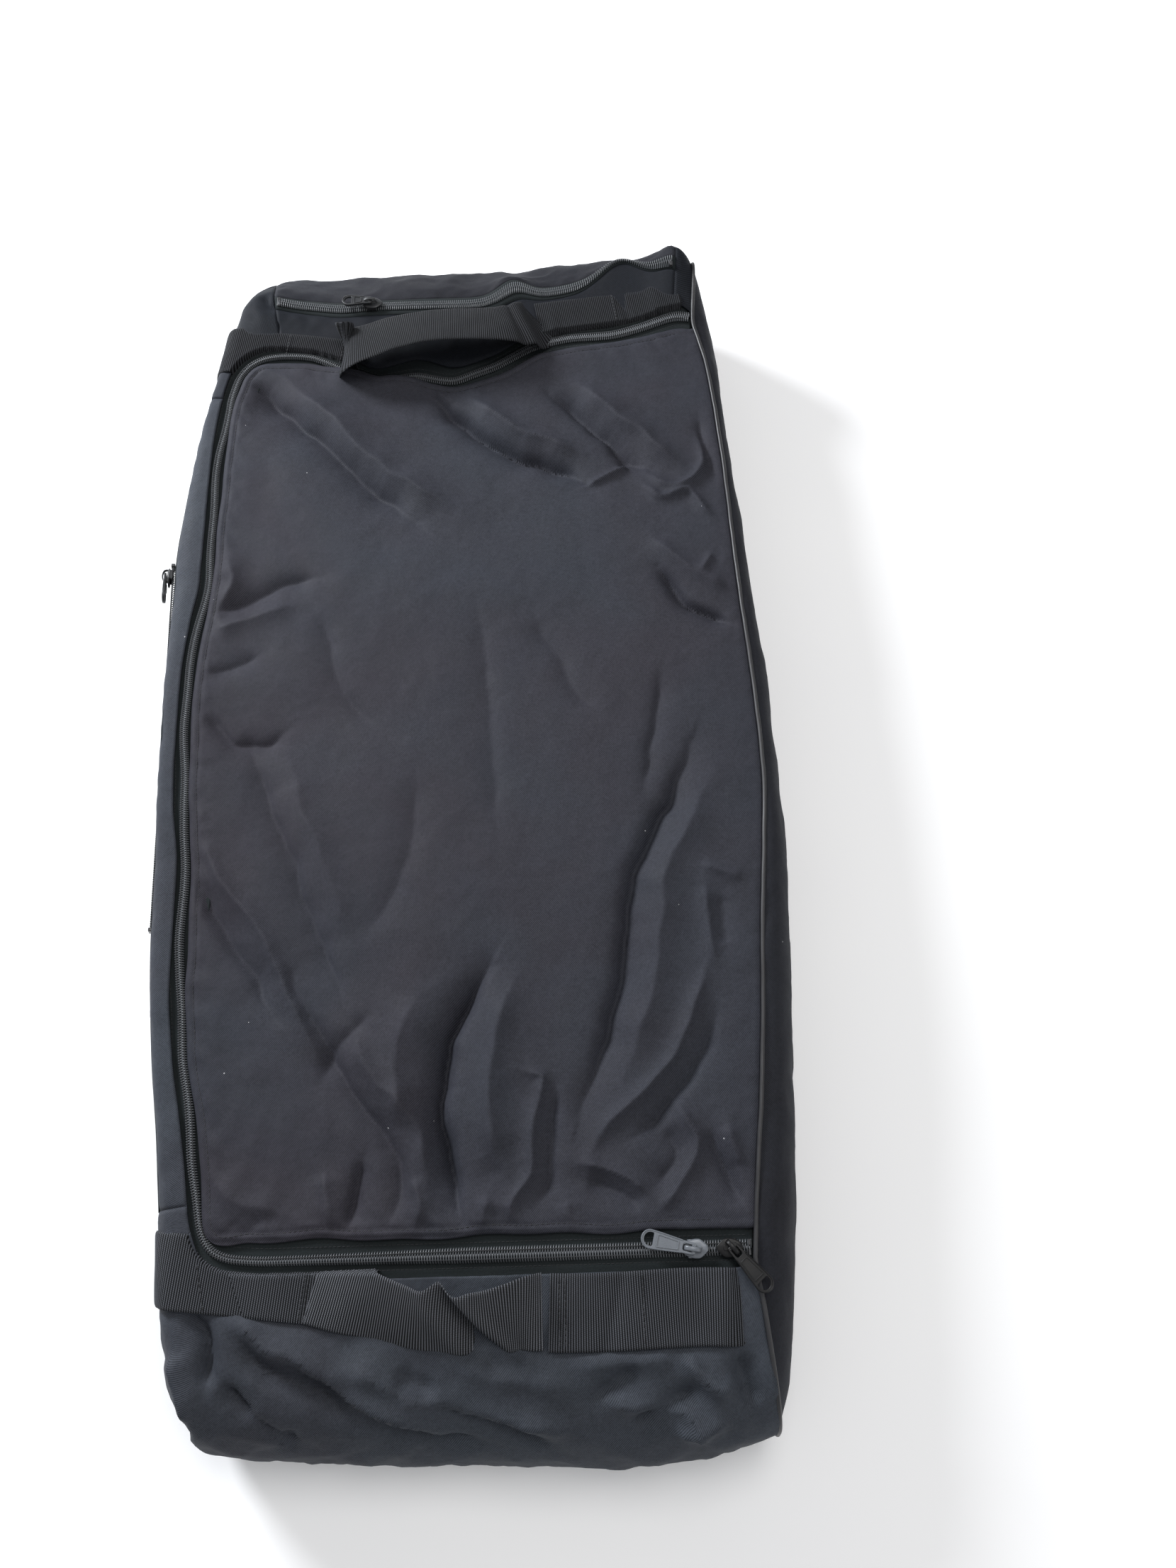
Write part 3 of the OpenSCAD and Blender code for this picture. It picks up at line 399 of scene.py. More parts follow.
def noise(nt, vec, scale, detail=3, rough=0.55, dist=0.0):
    n = node(nt, "ShaderNodeTexNoise"); n.inputs["Scale"].default_value = scale; n.inputs["Detail"].default_value = detail
    n.inputs["Roughness"].default_value = rough; n.inputs["Distortion"].default_value = dist
    nt.links.new(vec, n.inputs["Vector"]); return n.outputs["Fac"]
def ramp(nt, fac, stops):
    r = node(nt, "ShaderNodeValToRGB"); e = r.color_ramp.elements
    while len(e) < len(stops):
        e.new(0.5)
    for el, (p, c) in zip(e, stops):
        el.position = p; el.color = (*c, 1) if len(c) == 3 else c
    nt.links.new(fac, r.inputs[0]); return r.outputs[0]
def mix(nt, fac, a, b, blend="MIX"):
    n = node(nt, "ShaderNodeMix", data_type="RGBA", blend_type=blend)
    if isinstance(fac, (int, float)):
        n.inputs[0].default_value = fac
    else:
        nt.links.new(fac, n.inputs[0])
    for i, v in ((6, a), (7, b)):
        if isinstance(v, tuple):
            n.inputs[i].default_value = (*v, 1)
        else:
            nt.links.new(v, n.inputs[i])
    return n.outputs[2]
def maprange(nt, v, a, b, c, d):
    n = node(nt, "ShaderNodeMapRange"); nt.links.new(v, n.inputs[0])
    for i, x in enumerate((a, b, c, d)):
        n.inputs[i + 1].default_value = x
    return n.outputs[0]
def bump(nt, bs, height, strength, dist):
    b = node(nt, "ShaderNodeBump"); b.inputs["Strength"].default_value = strength; b.inputs["Distance"].default_value = dist
    nt.links.new(height, b.inputs["Height"]); nt.links.new(b.outputs[0], bs.inputs["Normal"])

def twill(name, tone_a, tone_b, rough=0.66, pitch=1.16, sheen=0.012, lint=True, angle=0.72):
    """Coated polyester twill: diagonal ribs, yarn texture, slow tone change and a little lint."""
    m, nt, bs = mat_new(name); uv = coords(nt); ob = coords(nt, False)
    w = node(nt, "ShaderNodeTexWave", wave_type="BANDS", bands_direction="X", wave_profile="SIN")
    k = 1000 / pitch / 20 * 1.0
    w.inputs["Scale"].default_value = k * 1.0; w.inputs["Distortion"].default_value = 0.5; w.inputs["Detail"].default_value = 2; w.inputs["Detail Scale"].default_value = 3
    nt.links.new(scaled(nt, uv, (3.14159 * 2, 3.14159 * 2, 1), (0, 0, angle)), w.inputs["Vector"])
    w.inputs["Scale"].default_value = 1000 / pitch / 20 * 1.0
    yarn = noise(nt, scaled(nt, uv, (2600, 900, 1)), 1.0, 2)
    slow = noise(nt, ob, 5.0, 3, 0.6, 0.4)
    mid = noise(nt, ob, 28.0, 3, 0.6)
    col = ramp(nt, slow, [(0.32, tone_a), (0.68, tone_b)])
    shade = mathn(nt, "ADD", mathn(nt, "MULTIPLY", w.outputs["Fac"], 0.62), mathn(nt, "MULTIPLY", yarn, 0.38))
    shade = mathn(nt, "ADD", shade, mathn(nt, "MULTIPLY", mid, 0.3))
    grain = mathn(nt, "ADD", mathn(nt, "MULTIPLY", noise(nt, ob, 620.0, 2, 0.7), 0.55), mathn(nt, "MULTIPLY", noise(nt, ob, 260.0, 2, 0.6), 0.30))
    shade = mathn(nt, "ADD", shade, mathn(nt, "SUBTRACT", grain, 0.425))
    val = maprange(nt, shade, 0.15, 1.15, 0.36, 1.70)
    hsv = node(nt, "ShaderNodeHueSaturation"); nt.links.new(col, hsv.inputs["Color"]); nt.links.new(val, hsv.inputs["Value"])
    out = hsv.outputs[0]
    if lint:
        v = node(nt, "ShaderNodeTexVoronoi", feature="F1"); v.inputs["Scale"].default_value = 62; v.inputs["Randomness"].default_value = 1
        nt.links.new(ob, v.inputs["Vector"])
        pick = mathn(nt, "GREATER_THAN", noise(nt, ob, 44.0, 0), 0.705)
        spot = mathn(nt, "MULTIPLY", mathn(nt, "LESS_THAN", v.outputs["Distance"], 0.035), pick)
        out = mix(nt, spot, out, (0.35, 0.35, 0.36))
    nt.links.new(out, bs.inputs["Base Color"])
    nt.links.new(maprange(nt, mid, 0.3, 0.7, rough - 0.06, rough + 0.08), bs.inputs["Roughness"])
    bs.inputs["Sheen Weight"].default_value = sheen; bs.inputs["Sheen Roughness"].default_value = 0.45
    bs.inputs["Sheen Tint"].default_value = (0.75, 0.82, 1.0, 1)
    bs.inputs["Specular IOR Level"].default_value = 0.12
    h = mathn(nt, "ADD", mathn(nt, "MULTIPLY", w.outputs["Fac"], 0.7), mathn(nt, "MULTIPLY", yarn, 0.5))
    bump(nt, bs, h, 0.42, 0.00035)
    return m

def woven(name, base, rough=0.7, pitch=0.9, sheen=0.1, strength=0.5, ribs=(1.0, 0.35), spec=0.35):
    """Flat woven tape or webbing: two crossing thread directions in the piece's own coordinates."""
    m, nt, bs = mat_new(name); uv = coords(nt)
    k = 2 * math.pi * 1000 / pitch
    sep = node(nt, "ShaderNodeSeparateXYZ"); nt.links.new(uv, sep.inputs[0])
    a = mathn(nt, "SINE", mathn(nt, "MULTIPLY", sep.outputs[0], k * ribs[0])); b = mathn(nt, "SINE", mathn(nt, "MULTIPLY", sep.outputs[1], k * ribs[1]))
    wv = mathn(nt, "MULTIPLY", a, b)
    n1 = noise(nt, scaled(nt, uv, (1, 1, 1)), 900.0, 3); n2 = noise(nt, coords(nt, False), 34.0, 3)
    t = mathn(nt, "ADD", mathn(nt, "MULTIPLY", wv, 0.22), mathn(nt, "ADD", mathn(nt, "MULTIPLY", n1, 0.7), mathn(nt, "MULTIPLY", n2, 0.45)))
    lo = tuple(c * 0.5 for c in base); hi = tuple(c * 1.75 for c in base)
    col = ramp(nt, t, [(0.2, lo), (0.95, hi)])
    nt.links.new(col, bs.inputs["Base Color"])
    nt.links.new(maprange(nt, n2, 0.3, 0.7, rough - 0.08, rough + 0.08), bs.inputs["Roughness"])
    bs.inputs["Sheen Weight"].default_value = sheen; bs.inputs["Sheen Roughness"].default_value = 0.5
    bs.inputs["Specular IOR Level"].default_value = spec
    bump(nt, bs, mathn(nt, "ADD", mathn(nt, "MULTIPLY", wv, 0.5), n1), strength, 0.0003)
    return m

def plastic(name, base, rough=0.35, spec=0.5, coat=0.0, wear=0.3, metallic=0.0, scale=300.0, strength=0.15):
    m, nt, bs = mat_new(name); ob = coords(nt, False)
    n1 = noise(nt, ob, scale, 4); n2 = noise(nt, ob, scale / 9, 3)
    lo = tuple(c * (1 - wear * 0.6) for c in base); hi = tuple(min(1, c * (1 + wear)) for c in base)
    col = ramp(nt, mathn(nt, "ADD", mathn(nt, "MULTIPLY", n1, 0.5), mathn(nt, "MULTIPLY", n2, 0.5)), [(0.3, lo), (0.7, hi)])
    nt.links.new(col, bs.inputs["Base Color"])
    nt.links.new(maprange(nt, n2, 0.3, 0.7, max(0.05, rough - 0.08), rough + 0.1), bs.inputs["Roughness"])
    bs.inputs["Specular IOR Level"].default_value = spec; bs.inputs["Metallic"].default_value = metallic
    bs.inputs["Coat Weight"].default_value = coat; bs.inputs["Coat Roughness"].default_value = 0.18
    bump(nt, bs, n1, strength, 0.0001)
    return m

M_FRONT = twill("front_twill", (0.0298, 0.0280, 0.0352), (0.0298, 0.0322, 0.0410))
M_SHELL = twill("shell_twill", (0.0210, 0.0222, 0.0285), (0.0260, 0.0305, 0.0390))
# painted shade: the top end panels use a darker copy of the same twill
M_TOP_SHADE = twill("top_twill_painted_shade", (0.0080, 0.0088, 0.0120), (0.0105, 0.0125, 0.0165))
# painted shade: the sides, pocket panels and back use a darker copy of the same twill
M_SIDE_SHADE = twill("side_twill_painted_shade", (0.0135, 0.0135, 0.0172), (0.0180, 0.0192, 0.0240))
M_LINING = woven("lining_taffeta", (0.016, 0.016, 0.019), 0.55, 0.7, 0.05, 0.25, (1.0, 1.0))
M_TAPE = woven("zip_tape_weave", (0.0128, 0.0160, 0.0170), 0.80, 1.0, 0.015, 0.45, (1.0, 0.6), 0.12)
def webbing(name, base, rib=1.72, rough=0.7):
    """Ribbed webbing: painted shade in the grooves and painted light on the rib tops, in step with the modelled ribs,
    and small slanted threads on every rib.
    """
    m, nt, bs = mat_new(name); uv = coords(nt); sep = node(nt, "ShaderNodeSeparateXYZ"); nt.links.new(uv, sep.inputs[0])
    # g paints shade into the grooves and light onto the rib tops
    g = mathn(nt, "SINE", mathn(nt, "MULTIPLY", sep.outputs[0], 2 * math.pi * 1000 / rib))
    th = mathn(nt, "SINE", mathn(nt, "ADD", mathn(nt, "MULTIPLY", sep.outputs[1], 2 * math.pi * 1000 / 1.25), mathn(nt, "MULTIPLY", sep.outputs[0], math.pi * 1000 / rib)))
    n1 = noise(nt, uv, 1300.0, 2); n2 = noise(nt, coords(nt, False), 30.0, 3)
    fac = mathn(nt, "ADD", mathn(nt, "MULTIPLY", g, 0.46), mathn(nt, "ADD", mathn(nt, "MULTIPLY", th, 0.07), mathn(nt, "ADD", mathn(nt, "MULTIPLY", n1, 0.34), mathn(nt, "MULTIPLY", n2, 0.24))))
    col = ramp(nt, fac, [(0.0, tuple(c * 0.10 for c in base)), (0.22, tuple(c * 0.55 for c in base)), (0.55, tuple(c * 1.5 for c in base)), (0.85, tuple(c * 2.3 for c in base))])
    nt.links.new(col, bs.inputs["Base Color"])
    nt.links.new(maprange(nt, n2, 0.3, 0.7, rough - 0.08, rough + 0.1), bs.inputs["Roughness"])
    bs.inputs["Sheen Weight"].default_value = 0.012; bs.inputs["Sheen Roughness"].default_value = 0.5; bs.inputs["Specular IOR Level"].default_value = 0.12
    bump(nt, bs, mathn(nt, "ADD", mathn(nt, "MULTIPLY", th, 0.35), n1), 0.7, 0.0004)
    return m
M_WEB = webbing("webbing_weave", (0.039, 0.041, 0.0465), 1.72)
# painted shade and light: one webbing in three tones, the top handle and straps darker, the bottom handle lighter
M_WEB_TOP_SHADE = webbing("webbing_weave_top_painted_shade", (0.018, 0.019, 0.0215), 1.72)
M_WEB_LOW_LIT = webbing("webbing_weave_low_painted_light", (0.062, 0.065, 0.0725), 1.72)
M_BIND = woven("binding_weave", (0.014, 0.014, 0.016), 0.7, 0.9, 0.1, 0.4, (1.0, 0.5))
M_COIL = plastic("coil_nylon", (0.070, 0.075, 0.082), 0.34, 0.5, 0.0, 0.25)
# painted shade: a darker copy of the coil nylon for the side pocket zip, which faces the key light
M_COIL_SIDE_SHADE = plastic("coil_nylon_side_painted_shade", (0.026, 0.028, 0.031), 0.45, 0.3, 0.0, 0.25)
M_PIPE = plastic("piping_vinyl", (0.02, 0.02, 0.022), 0.42, 0.45, 0.0, 0.25, 0.0, 300.0, 0.04)
M_THREAD = woven("thread_ply", (0.02, 0.0205, 0.023), 0.6, 0.6, 0.1, 0.4, (1.0, 1.0))
# painted light: the bottom end and left strip use a lighter copy of the same twill
M_END_LIT = twill("end_twill_painted_light", (0.0345, 0.0368, 0.0455), (0.0410, 0.0475, 0.0580))
# painted shade: the side and end sliders and pulls, grey metal, are painted dark
M_SLIDER_SHADE = plastic("slider_painted_shade", (0.024, 0.025, 0.027), 0.4, 0.45, 0.0, 0.25, 0.1, 900.0, 0.08)
M_GREY = plastic("gunmetal_paint", (0.128, 0.140, 0.158), 0.36, 0.5, 0.12, 0.15, 0.2, 900.0, 0.06)
M_BLACK = plastic("black_paint", (0.0055, 0.0055, 0.006), 0.42, 0.24, 0.04, 0.3, 0.0, 900.0, 0.04)
M_STOP = plastic("stop_metal", (0.05, 0.05, 0.053), 0.35, 0.5, 0.1, 0.3, 0.5, 900.0, 0.1)

def finish_piece(ob, body, slot, *nodes, blend=None):
    if nodes:
        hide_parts(*nodes)
    if blend:
        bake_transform(ob)
    else:
        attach(ob, body)
    return ob

# the flap's hinge line runs 72 mm leftwards from the parked sliders along the bottom run; finish_piece only bakes the
# flap pieces' transforms
def flap_blend():
    nx, ny = -0.9974, 0.0723
    s = np.array([163.0 + CX, -384.0]); e = s + 72 * np.array([nx, ny])
    return ("bag", "flap", (s[0] / 1000, s[1] / 1000, 0.1044), (e[0] / 1000, e[1] / 1000, 0.1044))
FLAP_BLEND = flap_blend()

# ---------------------------------------------------------------- camera first
cam_data = bpy.data.cameras.new("camera"); cam = bpy.data.objects.new("camera", cam_data); COL.objects.link(cam)
cam.location = (0.0985, -0.3633, 0.9922); cam.rotation_euler = (math.radians(90 - 69.68), 0, math.radians(-1.61))
cam_data.sensor_width = 36; cam_data.lens = 1662 / 2212 * 36; cam_data.clip_start = 0.01; cam_data.clip_end = 30
bpy.context.scene.camera = cam

# ---------------------------------------------------------------- the skin: stations round the bag, sections across it
def station_table():
    rows = BOTTOM + LEFT[1:] + TOP[1:] + RIGHT[1:]
    out = []
    nb, nl, nt_ = len(BOTTOM), len(LEFT) - 1, len(TOP) - 1
    for i, s in enumerate(rows):
        r = math.hypot(s[2] - s[0], s[3] - s[1])
        d = r - s[4] - 0.5 if s[5] == 0 else min(s[5], r - s[4] - 6)
        if i == 0 or i == len(rows) - 1:
            d = r - 4.5
        out.append([s[0], s[1], s[2], s[3], s[4], d, s[6]])
    return np.array(out, float), nb, nl, nt_
ST, NB, NL, NT = station_table()
ST_S = arclen(ST[:, 2:4] * 0.7 + ST[:, 0:2] * 0.3)
def station_index(side, i):
    return {"B": 0, "L": NB - 1, "T": NB - 1 + NL, "R": NB - 1 + NL + NT}[side] + i
def stations(side, i0, i1, step):
    a, b = ST_S[station_index(side, i0)], ST_S[station_index(side, i1)]
    n = max(3, int(round((b - a) / step)) + 1)
    s = np.linspace(a, b, n)
    v = pchip(ST_S, ST, s)
    return s, v
def section_q(r, d, eq, q, inner):
    """q from -1 (inner edge) to 0 (shoulder start) is the flat, 0 to 90 the shoulder and 90 to 180 the curl under."""
    h = FZ - eq; e = 2 / SP
    a = np.radians(90 - np.clip(q, 0, 180))
    u = np.clip(np.cos(a), 0, 1) ** e; w = np.clip(np.sin(a), 0, 1) ** e
    up_d = r - d * (1 - u); up_z = eq + h * w
    dn_d = r - UC * (1 - np.clip(np.cos(a), 0, 1)); dn_z = eq + eq * np.sin(a)
    flat_d = inner + (r - d - inner) * (q + 1)
    dd = np.where(q < 0, flat_d, np.where(q <= 90, up_d, dn_d))
    zz = np.where(q < 0, FZ, np.where(q <= 90, up_z, dn_z))
    return dd, zz
ROUTE_TREE = ROUTE[::3]
def route_dist(x, y):
    x = np.asarray(x); y = np.asarray(y); sh = x.shape; P = np.stack([x.ravel(), y.ravel()], 1)
    out = np.full(len(P), 1e9)
    for k in range(0, len(P), 20000):
        out[k:k + 20000] = np.sqrt(((P[k:k + 20000, None] - ROUTE_TREE[None]) ** 2).sum(-1)).min(1)
    return out.reshape(sh)

STRAPS = ([(-226, -384), (-95, -400), (20, -428)], [(64, -422), (215, -422)], [(-240, 408), (-104, 390)], [(70, 424), (215, 444)])
def strap_calm(x, y):
    """1 where the cloth is free, near 0 where webbing is sewn on it."""
    f = np.ones(np.shape(x))
    for i, l in enumerate(STRAPS):
        d, _, al = dist_line(x, y, l)
        k = 0.92 * (1 - smooth(20, 34, d))
        if i == 0:
            k = k * (1 - smooth(-100, -60, x))
        f = f * (1 - k)
    return f
def skin_panel(name, side, i0, i1, qs, mat, amp=1.0, step=3.6, inner_fn=None, extra=None, seam=(1, 1, 1, 1), thick=1.5, wr=(2.4, 42.0), crump=None):
    """A fabric piece between stations and section angles, with folds as real shape and its edges pinched into the seams."""
    s, v = stations(side, i0, i1, step)
    q = np.asarray(qs, float)
    r = np.hypot(v[:, 2] - v[:, 0], v[:, 3] - v[:, 1])[:, None]
    dirx = (v[:, 2] - v[:, 0])[:, None] / r; diry = (v[:, 3] - v[:, 1])[:, None] / r
    inner = v[:, 4][:, None] if inner_fn is None else inner_fn(s, v)[:, None]
    dd, zz = section_q(r, v[:, 5][:, None], v[:, 6][:, None], q[None, :], inner)
    P = np.stack([v[:, 0][:, None] + dirx * dd, v[:, 1][:, None] + diry * dd, zz], -1)
    N = grid_normals(P)
    if N[len(s) // 2, len(q) // 2] @ np.array([dirx[len(s) // 2, 0] * 0.7, diry[len(s) // 2, 0] * 0.7, 0.7]) < 0:
        N = -N; sign = -1
    else:
        sign = 1
    n, m = P.shape[:2]
    su = arclen(P[:, m // 2]); sv = arclen(P[n // 2])
    du0, du1 = su[:, None], (su[-1] - su)[:, None]; dv0, dv1 = sv[None, :], (sv[-1] - sv)[None, :]
    # how free the cloth is: nothing moves at the seams, all of it does 25 mm away
    free = np.ones((n, m))
    for k, dist in zip(seam, (du0, du1, dv0, dv1)):
        if k:
            free = free * smooth(0, 16.0, dist + 2.0)
    low = smooth(3.0, 22.0, P[..., 2])                       # nothing is pushed through the floor
    disp = wrinkles(P, wr[0] * amp, wr[1]) * free + wrinkles(P, wr[0] * 0.35 * amp, wr[1] * 0.36) * free
    if extra is not None:
        disp = disp + extra(P) * free
    # puckers along the sewn edges
    for k, dist in zip(seam, (du0, du1, dv0, dv1)):
        if k:
            along = s[:, None] if dist.shape[0] == 1 else np.cumsum(np.ones((n, m)), 1) * 3.6
            disp = disp + 0.5 * amp * np.sin(along / 3.4 + 2 * noise3(P / 30)) * np.exp(-((dist - 7) / 5.0) ** 2)
            disp = disp - 0.55 * np.exp(-(dist / 2.2) ** 2)
    disp = disp * strap_calm(P[..., 0], P[..., 1]) if side in "BT" else disp
    P = P + N * (disp * low)[..., None]
    P = body_warp(P)
    P[..., 2] = np.maximum(P[..., 2], 0.4)
    return thick_grid(name, P, thick, mat, sign, grid_uv(P, s[0], 0)), P

def q_range(a, b, step_deg=4.0):
    return np.linspace(a, b, max(3, int(round(abs(b - a) / step_deg)) + 1))
FLAT = list(np.linspace(-1, 0, 5)[:-1])
def qs_front(to, n_sh, flat_n=5):
    return np.concatenate([np.linspace(-1, 0, flat_n)[:-1], np.linspace(0, to, n_sh)])

# front lower panel and the end under the strap
def end_extra(P):
    return fold_field(P[..., 0], P[..., 1], END_FOLDS, 2.0, 1.08) + crumple(P, 3.2, 70.0) + crumple(P * [1, 1.25, 1] + 40, 2.2, 38.0)
qs = np.concatenate([np.linspace(-1, 0, 7)[:-1], 90 * (np.linspace(0, 1, 44) ** 1.15)])
ob, PB = skin_panel("front_bottom_panel", "B", 0, 10, qs, M_END_LIT, 1.0, 3.4, None, end_extra, (0, 0, 0, 1), 1.5, (3.4, 46.0))
finish_piece(ob, "bag", "shell_fabric", "front_bottom_panel")
ob, _ = skin_panel("bottom_end_panel", "B", 0, 8, q_range(90, 180, 5), M_SIDE_SHADE, 1.0, 4.2, None, None, (0, 1, 1, 1), 1.5, (2.6, 40.0))
finish_piece(ob, "bag", "shell_fabric", "bottom_end_panel")
ob, _ = skin_panel("left_gusset_lower_a", "B", 8, 10, q_range(90, 180, 5), M_SIDE_SHADE, 0.6, 3.6, None, None, (1, 0, 1, 1), 1.5, (2.0, 40.0))
finish_piece(ob, "bag", "shell_fabric", "left_gusset_lower_end")
ob, _ = skin_panel("left_gusset_lower_b", "L", 0, 1, np.concatenate([np.linspace(-1, 0, 4)[:-1], q_range(0, 180, 5)]), M_END_LIT, 0.6, 3.2, None, None, (0, 1, 0, 1), 1.5, (1.6, 40.0))
finish_piece(ob, "bag", "shell_fabric", "left_gusset_lower_end")
# left side: front strip, pocket zip tape, pocket panel
ob, _ = skin_panel("left_side_strip", "L", 1, 15, np.concatenate([np.linspace(-1, 0, 4)[:-1], q_range(0, 42, 4)]), M_END_LIT, 0.5, 3.6, None, None, (1, 1, 0, 1), 1.5, (2.2, 34.0))
finish_piece(ob, "bag", "shell_fabric", "left_side_strip")
ob, _ = skin_panel("side_zip_tape", "L", 1, 15, q_range(42, 68, 5), M_TAPE, 0.0, 4.0, None, None, (0, 0, 0, 0), 0.9)
finish_piece(ob, "bag", "zip_tape", "side_zip_tape")
ob, _ = skin_panel("side_pocket_panel", "L", 1, 15, q_range(68, 180, 4), M_SIDE_SHADE, 1.0, 3.8, None, None, (1, 1, 1, 1), 1.5, (3.2, 52.0))
finish_piece(ob, "bag", "shell_fabric", "side_pocket_panel")
ob, _ = skin_panel("left_gusset_upper_a", "L", 15, 16, np.concatenate([np.linspace(-1, 0, 4)[:-1], q_range(0, 180, 5)]), M_SHELL, 0.6, 3.2, None, None, (1, 0, 0, 1), 1.5, (1.6, 40.0))
finish_piece(ob, "bag", "shell_fabric", "left_gusset_upper_end")
ob, _ = skin_panel("left_gusset_upper_b", "T", 0, 2, q_range(42, 180, 5), M_SIDE_SHADE, 0.6, 3.6, None, None, (0, 1, 1, 1), 1.5, (2.0, 40.0))
finish_piece(ob, "bag", "shell_fabric", "left_gusset_upper_end")
# top end
def top_extra(P):
    return fold_field(P[..., 0], P[..., 1], TOP_FOLDS, 1.4) + crumple(P, 1.6, 46.0)
ob, _ = skin_panel("front_top_panel_a", "T", 0, 3, np.concatenate([np.linspace(-1, 0, 5)[:-1], q_range(0, 42, 3)]), M_TOP_SHADE, 0.8, 3.2, None, top_extra, (0, 0, 0, 1), 1.5, (2.6, 36.0))
finish_piece(ob, "bag", "shell_fabric", "front_top_panel")
ob, _ = skin_panel("front_top_panel_b", "T", 3, 14, np.concatenate([np.linspace(-1, 0, 5)[:-1], q_range(0, 10, 0.8)]), M_TOP_SHADE, 0.8, 3.4, None, top_extra, (0, 0, 0, 1), 1.5, (2.6, 38.0))
finish_piece(ob, "bag", "shell_fabric", "front_top_panel")
ob, _ = skin_panel("front_top_panel_c", "T", 14, 15, np.concatenate([np.linspace(-1, 0, 5)[:-1], q_range(0, 90, 4)]), M_TOP_SHADE, 0.7, 3.0, None, top_extra, (0, 0, 0, 1), 1.5, (2.4, 38.0))
finish_piece(ob, "bag", "shell_fabric", "front_top_panel")
ob, _ = skin_panel("end_zip_tape", "T", 3, 14, q_range(10, 20, 2), M_TAPE, 0.0, 3.6, None, None, (0, 0, 0, 0), 0.9)
finish_piece(ob, "bag", "zip_tape", "end_zip_tape")
ob, _ = skin_panel("end_pocket_panel", "T", 3, 14, np.concatenate([np.linspace(20, 60, 26)[:-1], q_range(60, 180, 4)]), M_SIDE_SHADE, 1.0, 3.8, None, None, (1, 1, 1, 1), 1.5, (3.6, 50.0))
finish_piece(ob, "bag", "shell_fabric", "end_pocket_panel")
ob, _ = skin_panel("top_end_corner_left", "T", 2, 3, q_range(42, 180, 5), M_SIDE_SHADE, 0.6, 3.4, None, None, (1, 1, 1, 1), 1.5, (2.2, 40.0))
finish_piece(ob, "bag", "shell_fabric", "top_end_corners")
ob, _ = skin_panel("top_end_corner_right", "T", 14, 15, q_range(90, 180, 5), M_SIDE_SHADE, 0.6, 3.0, None, None, (1, 0, 1, 1), 1.5, (2.2, 40.0))
finish_piece(ob, "bag", "shell_fabric", "top_end_corners")
# right gusset, full height from the piping to the back seam
def right_inner(s, v):
    return np.full(len(s), 0.4)
ob, _ = skin_panel("right_gusset", "R", 0, 17, np.concatenate([[-1.0, -0.5], 90 * np.linspace(0, 1, 26) ** 1.1, q_range(94, 180, 5)]), M_SIDE_SHADE, 0.9, 3.8, right_inner, None, (0, 0, 0, 1), 1.5, (3.0, 60.0))
finish_piece(ob, "bag", "shell_fabric", "right_gusset")

# ---------------------------------------------------------------- the front flap, one cloth from the zip to the piping
def coons(bottom, top, left, right):
    n, m = len(bottom), len(left)
    u = np.linspace(0, 1, n)[:, None, None]; w = np.linspace(0, 1, m)[None, :, None]
    A = (1 - w) * bottom[:, None] + w * top[:, None] + (1 - u) * left[None] + u * right[None]
    C = (1 - u) * (1 - w) * bottom[0] + u * (1 - w) * bottom[-1] + (1 - u) * w * top[0] + u * w * top[-1]
    return A - C
def reparam(P, n):
    s = arclen(P); q = np.linspace(0, s[-1], n)
    return np.stack([np.interp(q, s, P[:, k]) for k in range(P.shape[1])], 1)
def show_at(s):
    """Tape showing between the zip's middle and the flap's folded edge, along the route."""
    k = [0, 60, 150, 300, 358, 378, 394, 412, 440, 700, 1120, 1165, 1190, 1225, 1262, 1296, 1330, 1400, 1480, 1560, ROUTE_L]
    v = [12.2, 13.2, 12.2, 12.4, 11.8, 7.0, 2.2, 3.2, 4.6, 5.0, 5.0, 6.0, 7.0, 5.0, -1.5, -3.0, 6.5, 10.0, 11.0, 13.0, 12.8]
    w = 1.1 * np.sin(s / 23.0 + 0.6) + 0.7 * np.sin(s / 9.3)
    return np.interp(s, k, v) + w * (smooth(20, 60, s) * (1 - smooth(360, 400, s)) * 1.0 + 0.45 * smooth(400, 460, s))
def blur(v, n):
    for _ in range(n):
        v = np.concatenate([v[:1], v[:-2] * 0.25 + v[1:-1] * 0.5 + v[2:] * 0.25, v[-1:]])
    return v
SHOWS = blur(show_at(ROUTE_S), 90)
def inner_edge(off=0.0):
    return ROUTE - ROUTE_N * (SHOWS + off)[:, None]
i_bl = int(np.argmin(np.hypot(ROUTE[:, 0] + 172, ROUTE[:, 1] + 375)))
i_tl = int(np.argmin(np.hypot(ROUTE[:, 0] + 199, ROUTE[:, 1] - 387)))
PIPE = np.array([[r[0], r[1]] for r in RIGHT], float)
NX, NY = 240, 440
